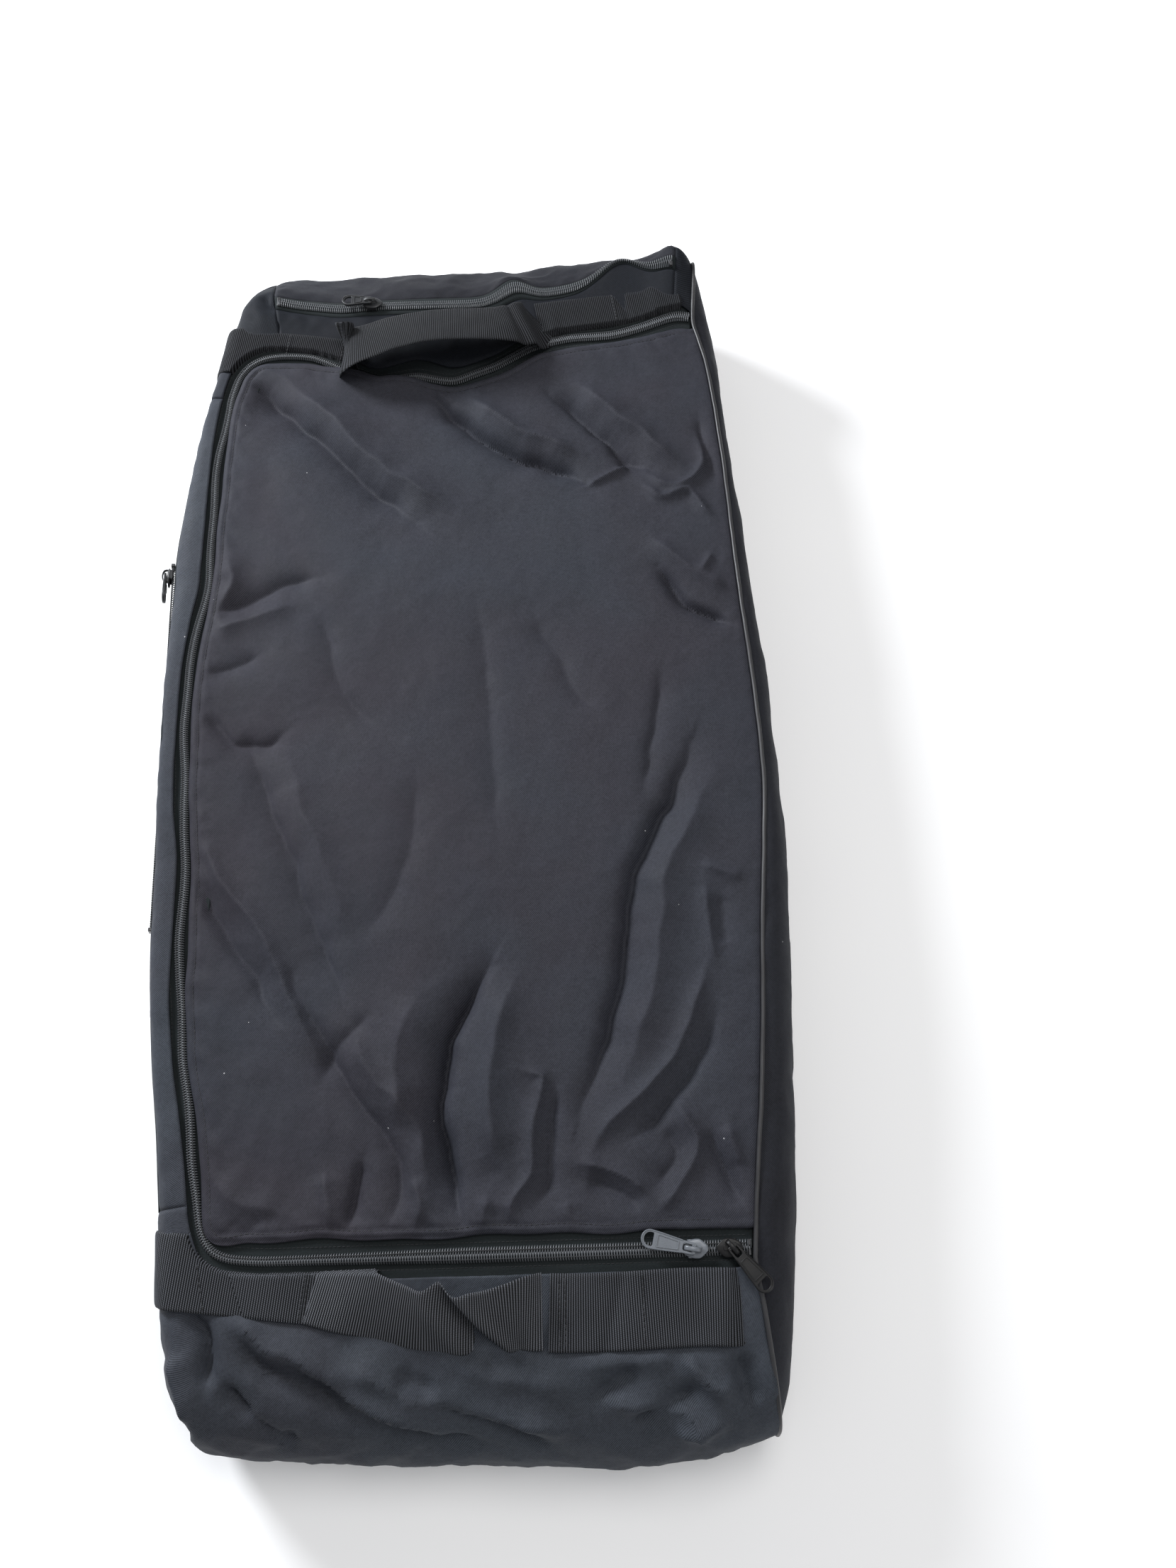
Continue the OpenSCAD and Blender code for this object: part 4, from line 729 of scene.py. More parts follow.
def flap_cloth():
    E = inner_edge()
    bot = E[:i_bl + 1][::-1]                                   # left to right
    lef = E[i_bl:i_tl + 1]
    top = E[i_tl:]
    pipe = resample(PIPE[::-1], 4.0)                           # bottom to top
    pipe = pipe[(pipe[:, 1] > bot[-1, 1] + 0.5) & (pipe[:, 1] < top[-1, 1] - 0.5)]
    rb = np.array([212.6, bot[-1, 1]]); rt = np.array([217.6, top[-1, 1]])
    bot = np.concatenate([bot, [rb]]); top = np.concatenate([top, [rt]])
    pipe = np.concatenate([[rb], pipe - [1.0, 0], [rt]])
    P2 = coons(reparam(bot, NX), reparam(top, NX), reparam(lef, NY), reparam(pipe, NY))
    x, y = P2[..., 0], P2[..., 1]
    n, m = P2.shape[:2]
    # distances to the sewn edges
    ed = np.concatenate([bot[:-1][::-6][::-1], lef[::6], top[:-1][::6]])
    d_edge, _, _ = dist_line(x, y, ed)
    over = smooth(4.5, -1.0, np.interp(np.arange(len(ROUTE)), np.arange(len(ROUTE)), SHOWS))
    jn = np.empty(x.size, int); Q = np.stack([x.ravel(), y.ravel()], 1); RT = ROUTE[::4]
    for k in range(0, len(Q), 6000):
        jn[k:k + 6000] = ((Q[k:k + 6000, None] - RT[None]) ** 2).sum(-1).argmin(1) * 4
    over = over[np.minimum(jn, len(over) - 1)].reshape(x.shape) * np.exp(-(d_edge / 16.0) ** 2)
    d_pipe, _, _ = dist_line(x, y, pipe[::3])
    z = np.full(x.shape, FZ)
    folds = fold_field(x, y, FOLDS, 1.55, 1.1)
    P3 = xyz(x, y, 0)
    soft = wrinkles(P3, 1.3, 70.0) + wrinkles(P3, 0.5, 26.0) + crumple(P3, 1.5, 95.0) + 0.22 * wrinkles(P3, 1.0, 12.0)
    low = smooth(-160, -330, y)                                # more crumpled towards the bottom
    soft = soft + low * (wrinkles(P3 * [1.25, 0.7, 1], 1.8, 40.0) + crumple(P3 * [1.3, 0.6, 1], 2.2, 52.0))
    up_ = np.exp(-(((x - 70) / 110) ** 2 + ((y - 290) / 70) ** 2)); soft = soft + up_ * crumple(P3 @ np.array([[0.8, -0.6, 0], [0.6, 0.8, 0], [0, 0, 1]]), 2.4, 60.0)
    free = smooth(-2, 22, d_edge) * smooth(-1, 20, d_pipe)
    z = z + (folds * 1.0 + soft) * free
    # pillow beside the zip: the folded edge stands over the tape, with small puckers
    s_al = np.arctan2(y, x + 0.0)
    puck = np.sin((x * 0.9 + y * 1.1) / 4.4 + 3 * noise3(P3 / 40)) * 0.5 + noise3(P3 / 9.0) * 0.9
    lift = 0.55 + 0.9 * noise3(P3 / 24.0 + 17)
    z = z + (1.9 * smooth(0, 4.0, d_edge) * (1 - 0.8 * smooth(8, 40, d_edge)) - 0.5 + lift * np.exp(-(d_edge / 9.0) ** 2))
    z = z - 0.9 * np.exp(-((d_edge - 6.2) / 1.6) ** 2)          # the stitch line pulls the hem down
    z = z + puck * np.exp(-((d_edge - 10) / 7.0) ** 2)
    z = z + 2.9 * over
    z = z + noise3(P3 / 11.0 + 40) * 0.9 * np.exp(-((d_pipe - 7) / 7.0) ** 2) - 0.8 * np.exp(-(d_pipe / 3.0) ** 2)
    # nothing stands up under the parked pulls
    z = z + height(x, y)
    near = np.exp(-(((x - 158) / 60) ** 2 + ((y + 370) / 14) ** 2))
    z = z * (1 - near) + np.minimum(z, FZ + 0.9) * near
    return np.stack([x, y, z], -1)
PF = flap_cloth()
uvf = PF[..., :2].copy()
ob = thick_grid("front_flap", PF, 1.5, M_FRONT, 1 if grid_normals(PF)[40, 40, 2] > 0 else -1, uvf)
finish_piece(ob, None, "front_fabric", "main_flap", "hinge_margin", blend=FLAP_BLEND)

# ---------------------------------------------------------------- main zip: tapes, teeth, thread
TZ = FZ - 2.9                     # top of the tape
def strip_along(s0, s1, d0, d1, nd, zf, step=2.2):
    s = np.arange(s0, s1 + step / 2, step); p, n = route_at(s); wv = route_wave(s)
    d = np.linspace(d0, d1, nd)
    x = p[:, None, 0] + n[:, None, 0] * (d[None] + wv[:, None]); y = p[:, None, 1] + n[:, None, 1] * (d[None] + wv[:, None])
    z = zf(s[:, None], d[None]) + height(x, y)
    return np.stack([x, y, z], -1), s, d
def tape_z(s, d):
    a = np.abs(d)
    return TZ + 0.0 * s - 0.25 * np.exp(-((a - 6.0) / 1.2) ** 2) + 0.25 * np.exp(-((a - 9.5) / 1.4) ** 2) + 0.2 * np.sin(s / 9.0) * smooth(6, 12, a)
P, s, d = strip_along(0.5, ROUTE_L - 0.5, -20.5, -0.5, 22, tape_z)
uv = np.stack(np.broadcast_arrays(s[:, None], d[None]), -1)
ob = thick_grid("flap_zip_tape", P, 0.8, M_TAPE, 1 if grid_normals(P)[5, 5, 2] > 0 else -1, uv)
finish_piece(ob, None, "zip_tape", "flap_zip_tape", "zip_end_tape", blend=FLAP_BLEND)
P, s, d = strip_along(0.5, ROUTE_L - 0.5, 0.5, 19.0, 20, tape_z)
shown = 12.5
ob = thick_grid("body_zip_tape", P, 0.8, M_TAPE, 1 if grid_normals(P)[5, 5, 2] > 0 else -1, uv=np.stack(np.broadcast_arrays(s[:, None], d[None]), -1))
finish_piece(ob, "bag", "zip_tape", "body_zip_tape")

PITCH = 1.9
def coil_k(s):
    """Share of its full width the coil shows: it turns on edge round the corner and along the left side."""
    return np.interp(s, [0, 205, 262, 318, 372, 405, 440, 700, 1050, 1180, 1260, 1400, 1520, ROUTE_L],
                     [1, 1, 0.80, 0.64, 0.56, 0.54, 0.64, 0.70, 0.66, 0.56, 0.62, 0.80, 0.9, 0.9])
def teeth(side, s0, s1, gaps=()):
    """Coil loops of one row. Each loop climbs from the tape, crosses to the middle and hooks past it."""
    s = np.arange(s0, s1, PITCH) + (PITCH / 2 if side > 0 else 0)
    for a, b in gaps:
        s = s[(s < a) | (s > b)]
    # (distance from the centre, height, shift along the zip)
    prof = np.array([[4.55, 0.3, -0.25], [4.85, 1.25, -0.2], [4.2, 2.1, -0.1], [2.6, 2.45, 0.05], [0.9, 2.5, 0.1], [-0.45, 2.25, 0.1], [-0.75, 1.5, 0.1]])
    sh = s[:, None] + prof[None, :, 2]
    p, n = route_at(sh); wv = route_wave(s)[:, None]
    kk = coil_k(s)[:, None]
    dd = side * prof[None, :, 0] * kk + wv + side * 0.0
    x = p[..., 0] + n[..., 0] * dd; y = p[..., 1] + n[..., 1] * dd
    z = TZ + prof[None, :, 1] * (1 + 0.25 * (1 - kk)) + height(x, y)
    return np.stack([x, y, z], -1)
T = teeth(-1, 3.0, ROUTE_L - 3.0)
ob = tubes("flap_zip_coil", T, 0.56, M_COIL, 6)
finish_piece(ob, None, "zip_coil", "flap_zip_coil", "zip_end_coil", blend=FLAP_BLEND)
T = teeth(1, 3.0, ROUTE_L - 3.0)
ob = tubes("body_zip_coil", T, 0.56, M_COIL, 6)
finish_piece(ob, "bag", "zip_coil", "body_zip_coil")

def stitches(name, curve3, length=2.3, gap=1.1, r=0.24, mat=None, lift=0.12):
    """A run of thread stitches along 3-D points, each a short bowed bar."""
    C = np.asarray(curve3, float); s = arclen(C)
    st = np.arange(0.5, s[-1] - length, length + gap)
    q = st[:, None] + np.array([0, 0.2, 0.5, 0.8, 1.0])[None] * length
    P = np.stack([np.interp(q, s, C[:, k]) for k in range(3)], -1)
    P[..., 2] += np.array([-0.1, lift, lift + 0.08, lift, -0.1])[None]
    return tubes(name, P, r, mat or M_THREAD, 5)
# one row of stitching on each coil row, and one on each tape
def route_curve(d, z, s0=6.0, s1=None):
    s = np.arange(s0, (s1 or ROUTE_L - 6.0), 1.5); p, n = route_at(s); wv = route_wave(s)
    dk = d * (coil_k(s) if abs(d) < 5 else 1.0); zk = 0.25 * 2.5 * (1 - coil_k(s)) if abs(d) < 5 else 0.0
    x = p[:, 0] + n[:, 0] * (dk + wv); y = p[:, 1] + n[:, 1] * (dk + wv)
    return np.stack([x, y, z + zk + height(x, y)], -1)
for sd, who in ((-1, "flap"), (1, "body")):
    ob = stitches(who + "_coil_stitch", route_curve(sd * 2.9, TZ + 2.95), 1.45, 0.45, 0.3)
    if who == "flap":
        finish_piece(ob, None, "thread", blend=FLAP_BLEND)
    else:
        finish_piece(ob, "bag", "thread")
    ob = stitches(who + "_tape_stitch", route_curve(sd * 8.2, TZ + 0.12), 2.2, 1.0, 0.2)
    if who == "flap":
        finish_piece(ob, None, "thread", blend=FLAP_BLEND)
    else:
        finish_piece(ob, "bag", "thread")

# ---------------------------------------------------------------- topstitching on the flap's edge
def surf_z_flap(x, y):
    """Height of the flap cloth, by its nearest grid point."""
    G = PF.reshape(-1, 3); out = np.empty(len(x))
    for k in range(0, len(x), 400):
        dx = (x[k:k + 400, None] - G[None, :, 0]) ** 2 + (y[k:k + 400, None] - G[None, :, 1]) ** 2
        out[k:k + 400] = G[dx.argmin(1), 2]
    return out
s = np.arange(30, ROUTE_L - 14.0, 2.0); p, n = route_at(s)
sh_ = np.interp(s, ROUTE_S, SHOWS); x = p[:, 0] - n[:, 0] * (sh_ + 6.2); y = p[:, 1] - n[:, 1] * (sh_ + 6.2)
zz = surf_z_flap(x, y); zz = np.convolve(np.pad(zz, 2, mode="edge"), np.ones(5) / 5, "valid")
ob = stitches("edge_topstitch", np.stack([x, y, zz + 0.1], -1), 2.6, 1.2, 0.2)
finish_piece(ob, None, "thread", "edge_topstitch", blend=FLAP_BLEND)

# ---------------------------------------------------------------- piping
def tube_along(name, pts, r, mat, sides=12):
    return tubes(name, np.asarray(pts, float)[None], r, mat, sides)
def section_pt(v, qd, off):
    r = math.hypot(v[2] - v[0], v[3] - v[1]); dx, dy = (v[2] - v[0]) / r, (v[3] - v[1]) / r
    q = np.array([qd - 0.5, qd, qd + 0.5]); dd, zz = section_q(r, v[5], v[6], q, v[4])
    t = np.array([dd[2] - dd[0], zz[2] - zz[0]]); t /= np.linalg.norm(t); nrm = np.array([-t[1], t[0]])
    if nrm[0] * 0.7 + nrm[1] * 0.7 < 0:
        nrm = -nrm
    d_, z_ = dd[1] + nrm[0] * off, zz[1] + nrm[1] * off
    return [v[0] + dx * d_, v[1] + dy * d_, z_]
vT, vB = ST[station_index("T", 15)], ST[0]
PR = 1.75
top_run = [section_pt(vT, a, PR * 0.7) for a in (172, 150, 120, 90, 76, 60, 46, 34, 22, 12)]
bot_run = [section_pt(vB, a, PR * 0.7) for a in (10, 20, 32, 44, 58, 72, 86, 110, 140, 168)]
mid_run = [[r[0] - 0.3, r[1], FZ + PR * 0.55] for r in RIGHT]
pp = np.array(top_run + mid_run + bot_run)
pp = resample(pp, 2.5)
pp = body_warp(pp)
pp[:, 0] += 0.5 * noise3(pp / 26); pp[:, 2] += 0.35 * noise3(pp / 19 + 8)
ob = tube_along("right_piping", pp, PR, M_PIPE, 12)
finish_piece(ob, "bag", "piping", "right_piping")
back = np.array([section_pt(ST[station_index("R", i)], 141, 1.2) for i in range(0, 18)])
ob = tube_along("back_piping", resample(back, 3.0), 1.7, M_PIPE, 10)
finish_piece(ob, "bag", "piping", "back_piping")

# ---------------------------------------------------------------- back panel, inside and under
BX = np.array([[section_pt(ST[i], 179.4, 0)[0], section_pt(ST[i], 179.4, 0)[1]] for i in range(len(ST) - 1)])
def back_panel():
    # polar-like grid scaled from the outline, so the rim meets the curled sides
    c = np.array([0.0, 0.0])
    ring = reparam(np.concatenate([BX, BX[:1]]), 420)[:-1]
    k = 46
    f = 1 - np.linspace(0, 1, k) ** 1.0 * 0.985
    P = c + (ring - c)[None] * f[:, None, None]
    x, y = P[..., 0], P[..., 1]
    z = np.full(x.shape, 1.7) + np.maximum(0, wrinkles(xyz(x, y, 3.0), 1.3, 60.0)) * smooth(0, 0.15, np.linspace(0, 1, k))[:, None]
    top = np.stack([x, y, z], -1)
    botm = np.stack([x, y, np.full(x.shape, 0.0) + 0.05 * (1 + noise3(xyz(x / 20, y / 20, 0)))], -1)
    n, m = x.shape; V = np.concatenate([top.reshape(-1, 3), botm.reshape(-1, 3)]); K = n * m
    i, j = np.meshgrid(np.arange(n - 1), np.arange(m), indexing="ij"); j2 = (j + 1) % m
    a = (i * m + j).ravel(); b = (i * m + j2).ravel(); c_ = ((i + 1) * m + j2).ravel(); d_ = ((i + 1) * m + j).ravel()
    F = [np.stack([a, b, c_, d_], 1), np.stack([d_, c_, b, a], 1) + K]
    jj = np.arange(m); F.append(np.stack([jj, jj + K, (jj + 1) % m + K, (jj + 1) % m], 1))
    faces = np.concatenate(F).tolist()
    faces.append([(n - 1) * m + q for q in range(m)]); faces.append([K + (n - 1) * m + q for q in range(m - 1, -1, -1)])
    UV = np.concatenate([np.stack([x, y], -1).reshape(-1, 2)] * 2)
    return new_mesh("back_panel", V, faces, M_SIDE_SHADE, UV)
ob = back_panel(); finish_piece(ob, "bag", "shell_fabric", "back_panel")

# bound seam allowance inside, all round the back seam
def binding():
    ring = reparam(np.concatenate([BX, BX[:1]]), 500)[:-1] * 0.988
    m = len(ring); prof = np.array([[0, 2.0], [0.2, 7.5], [1.3, 9.6], [2.6, 7.5], [2.4, 2.0]])
    nrm = np.roll(ring, -1, 0) - np.roll(ring, 1, 0); nrm /= np.linalg.norm(nrm, axis=1)[:, None]; nrm = np.stack([nrm[:, 1], -nrm[:, 0]], 1)
    if (nrm[0] @ -ring[0]) < 0:
        nrm = -nrm
    wob = noise3(xyz(ring[:, 0] / 40, ring[:, 1] / 40, 2.0))
    V = np.stack([np.stack([ring[:, 0] + nrm[:, 0] * (a + 1.2 * wob), ring[:, 1] + nrm[:, 1] * (a + 1.2 * wob), np.full(m, b) + 0.5 * wob * (b > 3)], -1) for a, b in prof], 0)
    n = len(prof); F = []
    i, j = np.meshgrid(np.arange(n - 1), np.arange(m), indexing="ij"); j2 = (j + 1) % m
    F = np.stack([(i * m + j).ravel(), (i * m + j2).ravel(), ((i + 1) * m + j2).ravel(), ((i + 1) * m + j).ravel()], 1)
    s = np.arange(m) * 6.0
    UV = np.stack([np.stack([s, np.full(m, q * 4.0)], -1) for q in range(n)], 0)
    base = np.arange(m); G = np.stack([(n - 1) * m + base, (n - 1) * m + (base + 1) % m, (base + 1) % m, base], 1)
    return new_mesh("seam_binding", V.reshape(-1, 3), np.concatenate([F, G]), M_BIND, UV.reshape(-1, 2))
ob = binding(); finish_piece(ob, "bag", "binding", "seam_binding")

# pocket bags inside
def lining(name, side, i0, i1, qa, qb):
    s, v = stations(side, i0, i1, 7.0); q = q_range(qa, qb, 7)
    r = np.hypot(v[:, 2] - v[:, 0], v[:, 3] - v[:, 1])[:, None]
    dirx = (v[:, 2] - v[:, 0])[:, None] / r; diry = (v[:, 3] - v[:, 1])[:, None] / r
    dd, zz = section_q(r, v[:, 5][:, None], v[:, 6][:, None], q[None, :], v[:, 4][:, None])
    P = np.stack([v[:, 0][:, None] + dirx * dd, v[:, 1][:, None] + diry * dd, zz], -1); N = grid_normals(P)
    sg = 1 if N[len(s) // 2, len(q) // 2] @ np.array([dirx[len(s) // 2, 0], diry[len(s) // 2, 0], 0.3]) > 0 else -1
    N = N * sg
    P = P - N * (4.6 + 1.8 * np.abs(wrinkles(P, 1.0, 45.0)))[..., None]
    P = body_warp(P)
    return thick_grid(name, P, 0.4, M_LINING, sg)
ob = lining("side_pocket_lining", "L", 2, 14, 26, 136); finish_piece(ob, "bag", "lining", "side_pocket_lining")
ob = lining("end_pocket_lining", "T", 4, 12, 5, 136); finish_piece(ob, "bag", "lining", "end_pocket_lining")

# ---------------------------------------------------------------- webbing
def web(name, path, width_dir, mat, width=50.0, thick=1.7, rib=1.72, depth=0.5, step=0.34, nw=30, wobble=0.0, bend=None, tuck=False, shear=0.0):
    """Ribbed webbing along 3-D points. width_dir: one vector, or one per point."""
    C = np.asarray(path, float); s0 = arclen(C)
    s = np.arange(0, s0[-1], step); P = pchip(s0, C, s)
    W = np.asarray(width_dir, float)
    W = np.broadcast_to(W, (len(s), 3)).copy() if W.ndim == 1 else pchip(s0, W, s)
    T = np.gradient(P, axis=0); T /= np.linalg.norm(T, axis=1)[:, None]
    W = W - (W * T).sum(1)[:, None] * T; W /= np.linalg.norm(W, axis=1)[:, None]
    N = np.cross(T, W);
    w = np.linspace(-width / 2, width / 2, nw)
    ribs = depth * (np.sin(2 * math.pi * s / rib)) * 0.5
    edge = 1 - 0.75 * smooth(width / 2 - 1.3, width / 2, np.abs(w))
    G = P[:, None] + W[:, None] * w[None, :, None]
    off = ribs[:, None] * np.where(np.abs(w) > width / 2 - 2.2, 0.4, 1)[None, :]
    if wobble:
        off = off + wobble * noise3(G / 22)
    if bend is not None:
        off = off + bend(s[:, None] / s[-1], w[None, :] / (width / 2))
    up = G + N[:, None] * (thick * edge[None, :, None] * 0.5 + off[..., None] + thick * 0.5)
    dn = G + N[:, None] * (-thick * edge[None, :, None] * 0.5 + (off * 1.0 - 2 * (ribs[:, None] * 0.5))[..., None] + thick * 0.5)
    n, m = G.shape[:2]; K = n * m
    F = [grid_faces(n, m, 0, False), grid_faces(n, m, K, True)]
    idx = np.arange(K).reshape(n, m)
    for ring, rv in ((idx[0], False), (idx[-1], True), (idx[:, 0], True), (idx[:, -1], False)):
        a, b = ring[:-1], ring[1:]; f = np.stack([a, a + K, b + K, b], 1); F.append(f[:, ::-1] if rv else f)
    UV = np.stack(np.broadcast_arrays(s[:, None], w[None]), -1).reshape(-1, 2)
    if tuck:                                                    # the edge that runs on under the zip
        for A in (up, dn):
            if shear:
                A[..., 0] -= shear * np.broadcast_to(w[None, :], A.shape[:2]) * smooth(-198, -212, A[..., 0])
            d = route_off(A[..., 0], A[..., 1])
            f_ = smooth(9.0, 6.8, d) * smooth(94, 99, A[..., 2]); A[..., 2] = A[..., 2] * (1 - f_) + np.minimum(A[..., 2], 98.0) * f_
    return new_mesh(name, np.concatenate([up.reshape(-1, 3), dn.reshape(-1, 3)]), np.concatenate(F), mat, np.concatenate([UV, UV]))

WZ = FZ + 0.5
by = -422.0; HX0, HX1 = -95.0, 70.0
def local(org, ang, pts):
    a = math.radians(ang)
    out = []
    for lx, z in pts:
        x, y = org[0] + lx * math.cos(a), org[1] + lx * math.sin(a)
        out.append([x, y, z + (float(height(x, y)) * float(smooth(50, 100, z)))])
    return out
def across(ang):
    a = math.radians(ang); return (-math.sin(a), math.cos(a), 0)
# bottom left length: over the left shoulder and down the side
BL, BA = (-95.0, -400.0), -6.5
path = local(BL, BA, [(-114.5, 9), (-117.8, 20), (-120.2, 30), (-121.6, 45), (-121.4, 60), (-120.6, 72), (-118.4, 83), (-115.4, 92), (-111.5, 98.6),
                      (-106.5, 102.6), (-101, 104.4), (-94, WZ), (-80, WZ), (-55, WZ), (-30, WZ), (1, WZ)])
ob = web("bottom_strap_left", path, across(BA), M_WEB, wobble=0.6, tuck=True, shear=0.20); finish_piece(ob, "bag", "webbing", "bottom_strap_left")
path = [[x, by + 0.9 * math.sin(x / 21.0), WZ] for x in (HX1 - 3, 85, 100, 115, 130, 145, 160, 175, 186)] + [[196, by, WZ - 0.6], [204, by, WZ - 2.0], [210, by, WZ - 5.0], [214, by, WZ - 11.0]]
def fold_right(u, w):
    return -2.4 * np.exp(-((u - 0.90) / 0.04) ** 2) + 1.6 * np.exp(-((u - 0.80) / 0.06) ** 2) + 0.5 * np.sin(w * 3 + u * 9) - 1.2 * np.exp(-((u - 0.30 - 0.05 * w) / 0.035) ** 2)
ob = web("bottom_strap_right", path, (0, 1, 0), M_WEB, wobble=0.8, bend=fold_right); finish_piece(ob, "bag", "webbing", "bottom_strap_right")
# the second layer on the left: the handle's own end, folded back and cut on the slant
def second_layer():
    w = np.linspace(-25, 25, 32); xa = np.interp(w, [-25, 8, 25], [-45.2, -64.0, -73.0]); x1 = 1.0
    n = int((x1 + 73) / 0.34); u = np.linspace(0, 1, n)
    LX = xa[None] + (x1 - xa[None]) * u[:, None]; LY = np.broadcast_to(w, LX.shape)
    a = math.radians(BA); X = BL[0] + LX * math.cos(a) - LY * math.sin(a); Y = BL[1] + LX * math.sin(a) + LY * math.cos(a)
    edge = 1 - smooth(0.0, 1.2, LX - xa[None])
    Z = WZ + height(X, Y) + 1.7 + 1.6 + 0.25 * np.sin(2 * math.pi * LX / 1.72) - 0.6 * (1 - smooth(0, 1.4, 25 - np.abs(LY))) - 0.9 * edge + 0.4 * noise3(xyz(X / 22, Y / 22, 0))
    Z = Z - 12.0 * smooth(9.6, 7.0, route_off(X, Y))
    P = np.stack([X, Y, Z], -1)
    return thick_grid("strap_second_layer", P, 1.4, M_WEB, 1 if grid_normals(P)[5, 5, 2] > 0 else -1, np.stack([LX, LY], -1))
ob = second_layer(); finish_piece(ob, "bag", "webbing")

# handles: both ends stay sewn while the middle lifts
def bottom_handle():
    K = np.array([[-95, -400.0, WZ + 3.3, 0], [-88, -402.2, WZ + 4.2, 3], [-75, -406.5, WZ + 6.5, 12], [-52, -414.2, 113.5, 30], [-18, -424.0, 116.5, 38], [0, -425.5, 116.8, 40],
                  [17, -425.8, 116.3, 39], [39, -422.8, 114.0, 30], [50, -421.3, 111.0, 14], [58, -421.2, WZ + 3.4, 3], [62.5, -421, WZ + 2.2, 0]])
    s = arclen(K[:, :3]); q = np.linspace(0, s[-1], 90); G = pchip(s, K, q)
    for _ in range(10):
        G[1:-1] = G[1:-1] * 0.5 + (G[:-2] + G[2:]) * 0.25
    tilt = np.radians(G[:, 3]); u = q / s[-1]
    yaw = np.radians(-6.5 * (1 - u) - 2 * np.sin(math.pi * np.clip(u * 2.2, 0, 1)) - 19 * smooth(0.74, 1.0, u))
    W = np.stack([-np.sin(yaw) * np.cos(tilt), np.cos(yaw) * np.cos(tilt), np.sin(tilt)], -1)
    def bend(uu, ww):
        # diagonal valley near the right end, from the upper left to the lower right
        d = (uu - 0.655) + 0.105 * ww
        b = -10.5 * np.exp(-np.abs(d / 0.042) ** 1.7) + 3.0 * np.exp(-((d + 0.10) / 0.06) ** 2) + 4.0 * np.exp(-((d - 0.085) / 0.04) ** 2)
        b = b * smooth(0.40, 0.52, uu) * (1 - smooth(0.90, 0.98, uu))
        return b + 1.0 * np.sin(math.pi * uu) * (1 - ww**2) - 0.9 * np.exp(-(uu / 0.02) ** 2)
    return web("bottom_handle", G[:, :3], W, M_WEB_LOW_LIT, wobble=0.6, bend=bend, tuck=True)
ob = bottom_handle()
finish_piece(ob, None, "webbing", "bottom_handle", blend=("bag", "bottom_handle", (0, -0.42, 0.1090), (0, -0.42, 0.1150)))

TL, TA = (-104.0, 388.0), -8.5
TR_, TB = (74.0, 423.0), 8.5
path = local(TL, TA, [(-120.0, 9), (-123.6, 20), (-125.8, 30), (-127, 45), (-126.8, 60), (-126.2, 70), (-124.4, 84), (-121.8, 94), (-118.2, 100.5), (-113.6, 104.1),
                      (-107, WZ + 0.6), (-95, WZ + 0.6), (-70, WZ + 0.5), (-40, WZ + 0.5), (0, WZ + 0.5)])
ob = web("top_strap_left", path, across(TA), M_WEB_TOP_SHADE, wobble=0.8, tuck=True); finish_piece(ob, "bag", "webbing", "top_strap_left")
path = local(TR_, TB, [(-3, WZ + 1.2), (12, WZ + 1.0), (30, WZ + 0.8), (50, WZ + 0.8), (75, WZ + 0.8), (100, WZ + 0.8), (118, WZ + 0.8), (133, WZ + 0.6)])
def fold_top_right(u, w):
    return 2.0 * np.exp(-((u - 0.10) / 0.05) ** 2) * (0.5 - 0.5 * w) + 0.8 * np.sin(u * 7 + w) - 1.5 * np.exp(-((u - 0.62 + 0.03 * w) / 0.03) ** 2) + 1.2 * np.exp(-((u - 0.83) / 0.05) ** 2)
ob = web("top_strap_right", path, across(TB), M_WEB_TOP_SHADE, wobble=0.9, bend=fold_top_right, tuck=True); finish_piece(ob, "bag", "webbing", "top_strap_right")
def top_handle():
    K = np.array([[-102, 401, WZ + 2.6, 0], [-105, 399, WZ + 6.0, 0], [-106, 394, 114, -3], [-102.5, 389.5, 121, -7], [-90, 391, 126.5, -12], [-60, 399, 129.5, -15], [-31, 404.5, 130, -17], [1, 406.6, 129, -17],
                  [33, 408, 126.5, -15], [50, 411, 122, -10], [60, 415, 116, -5], [68, 420.5, WZ + 4.0, 0], [71, 424, WZ + 2.6, 0]])
    s = arclen(K[:, :3]); q = np.linspace(0, s[-1], 130); G = pchip(s, K, q)
    for _ in range(6):
        G[1:-1] = G[1:-1] * 0.5 + (G[:-2] + G[2:]) * 0.25
    G[:, 2] += height(G[:, 0], G[:, 1])
    tilt = np.radians(G[:, 3]); u = q / s[-1]
    yaw = np.radians(-3 * (1 - smooth(0, 0.2, u)) + 6 * np.exp(-((u - 0.22) / 0.17) ** 2) + 6 * smooth(0.7, 1.0, u))
    W = np.stack([-np.sin(yaw) * np.cos(tilt), np.cos(yaw) * np.cos(tilt), np.sin(tilt)], -1)
    def bend(uu, ww):
        return 1.4 * np.sin(math.pi * uu) * (1 - ww**2) + 2.6 * np.exp(-((uu - 0.905) / 0.02) ** 2) * (0.6 - 0.4 * ww) - 2.0 * np.exp(-((uu - 0.865) / 0.02) ** 2)
    return web("top_handle", G[:, :3], W, M_WEB_TOP_SHADE, wobble=0.9, bend=bend)
ob = top_handle()
finish_piece(ob, None, "webbing", "top_handle", blend=("bag", "top_handle", (0, 0.427, 0.109), (0, 0.427, 0.121)))
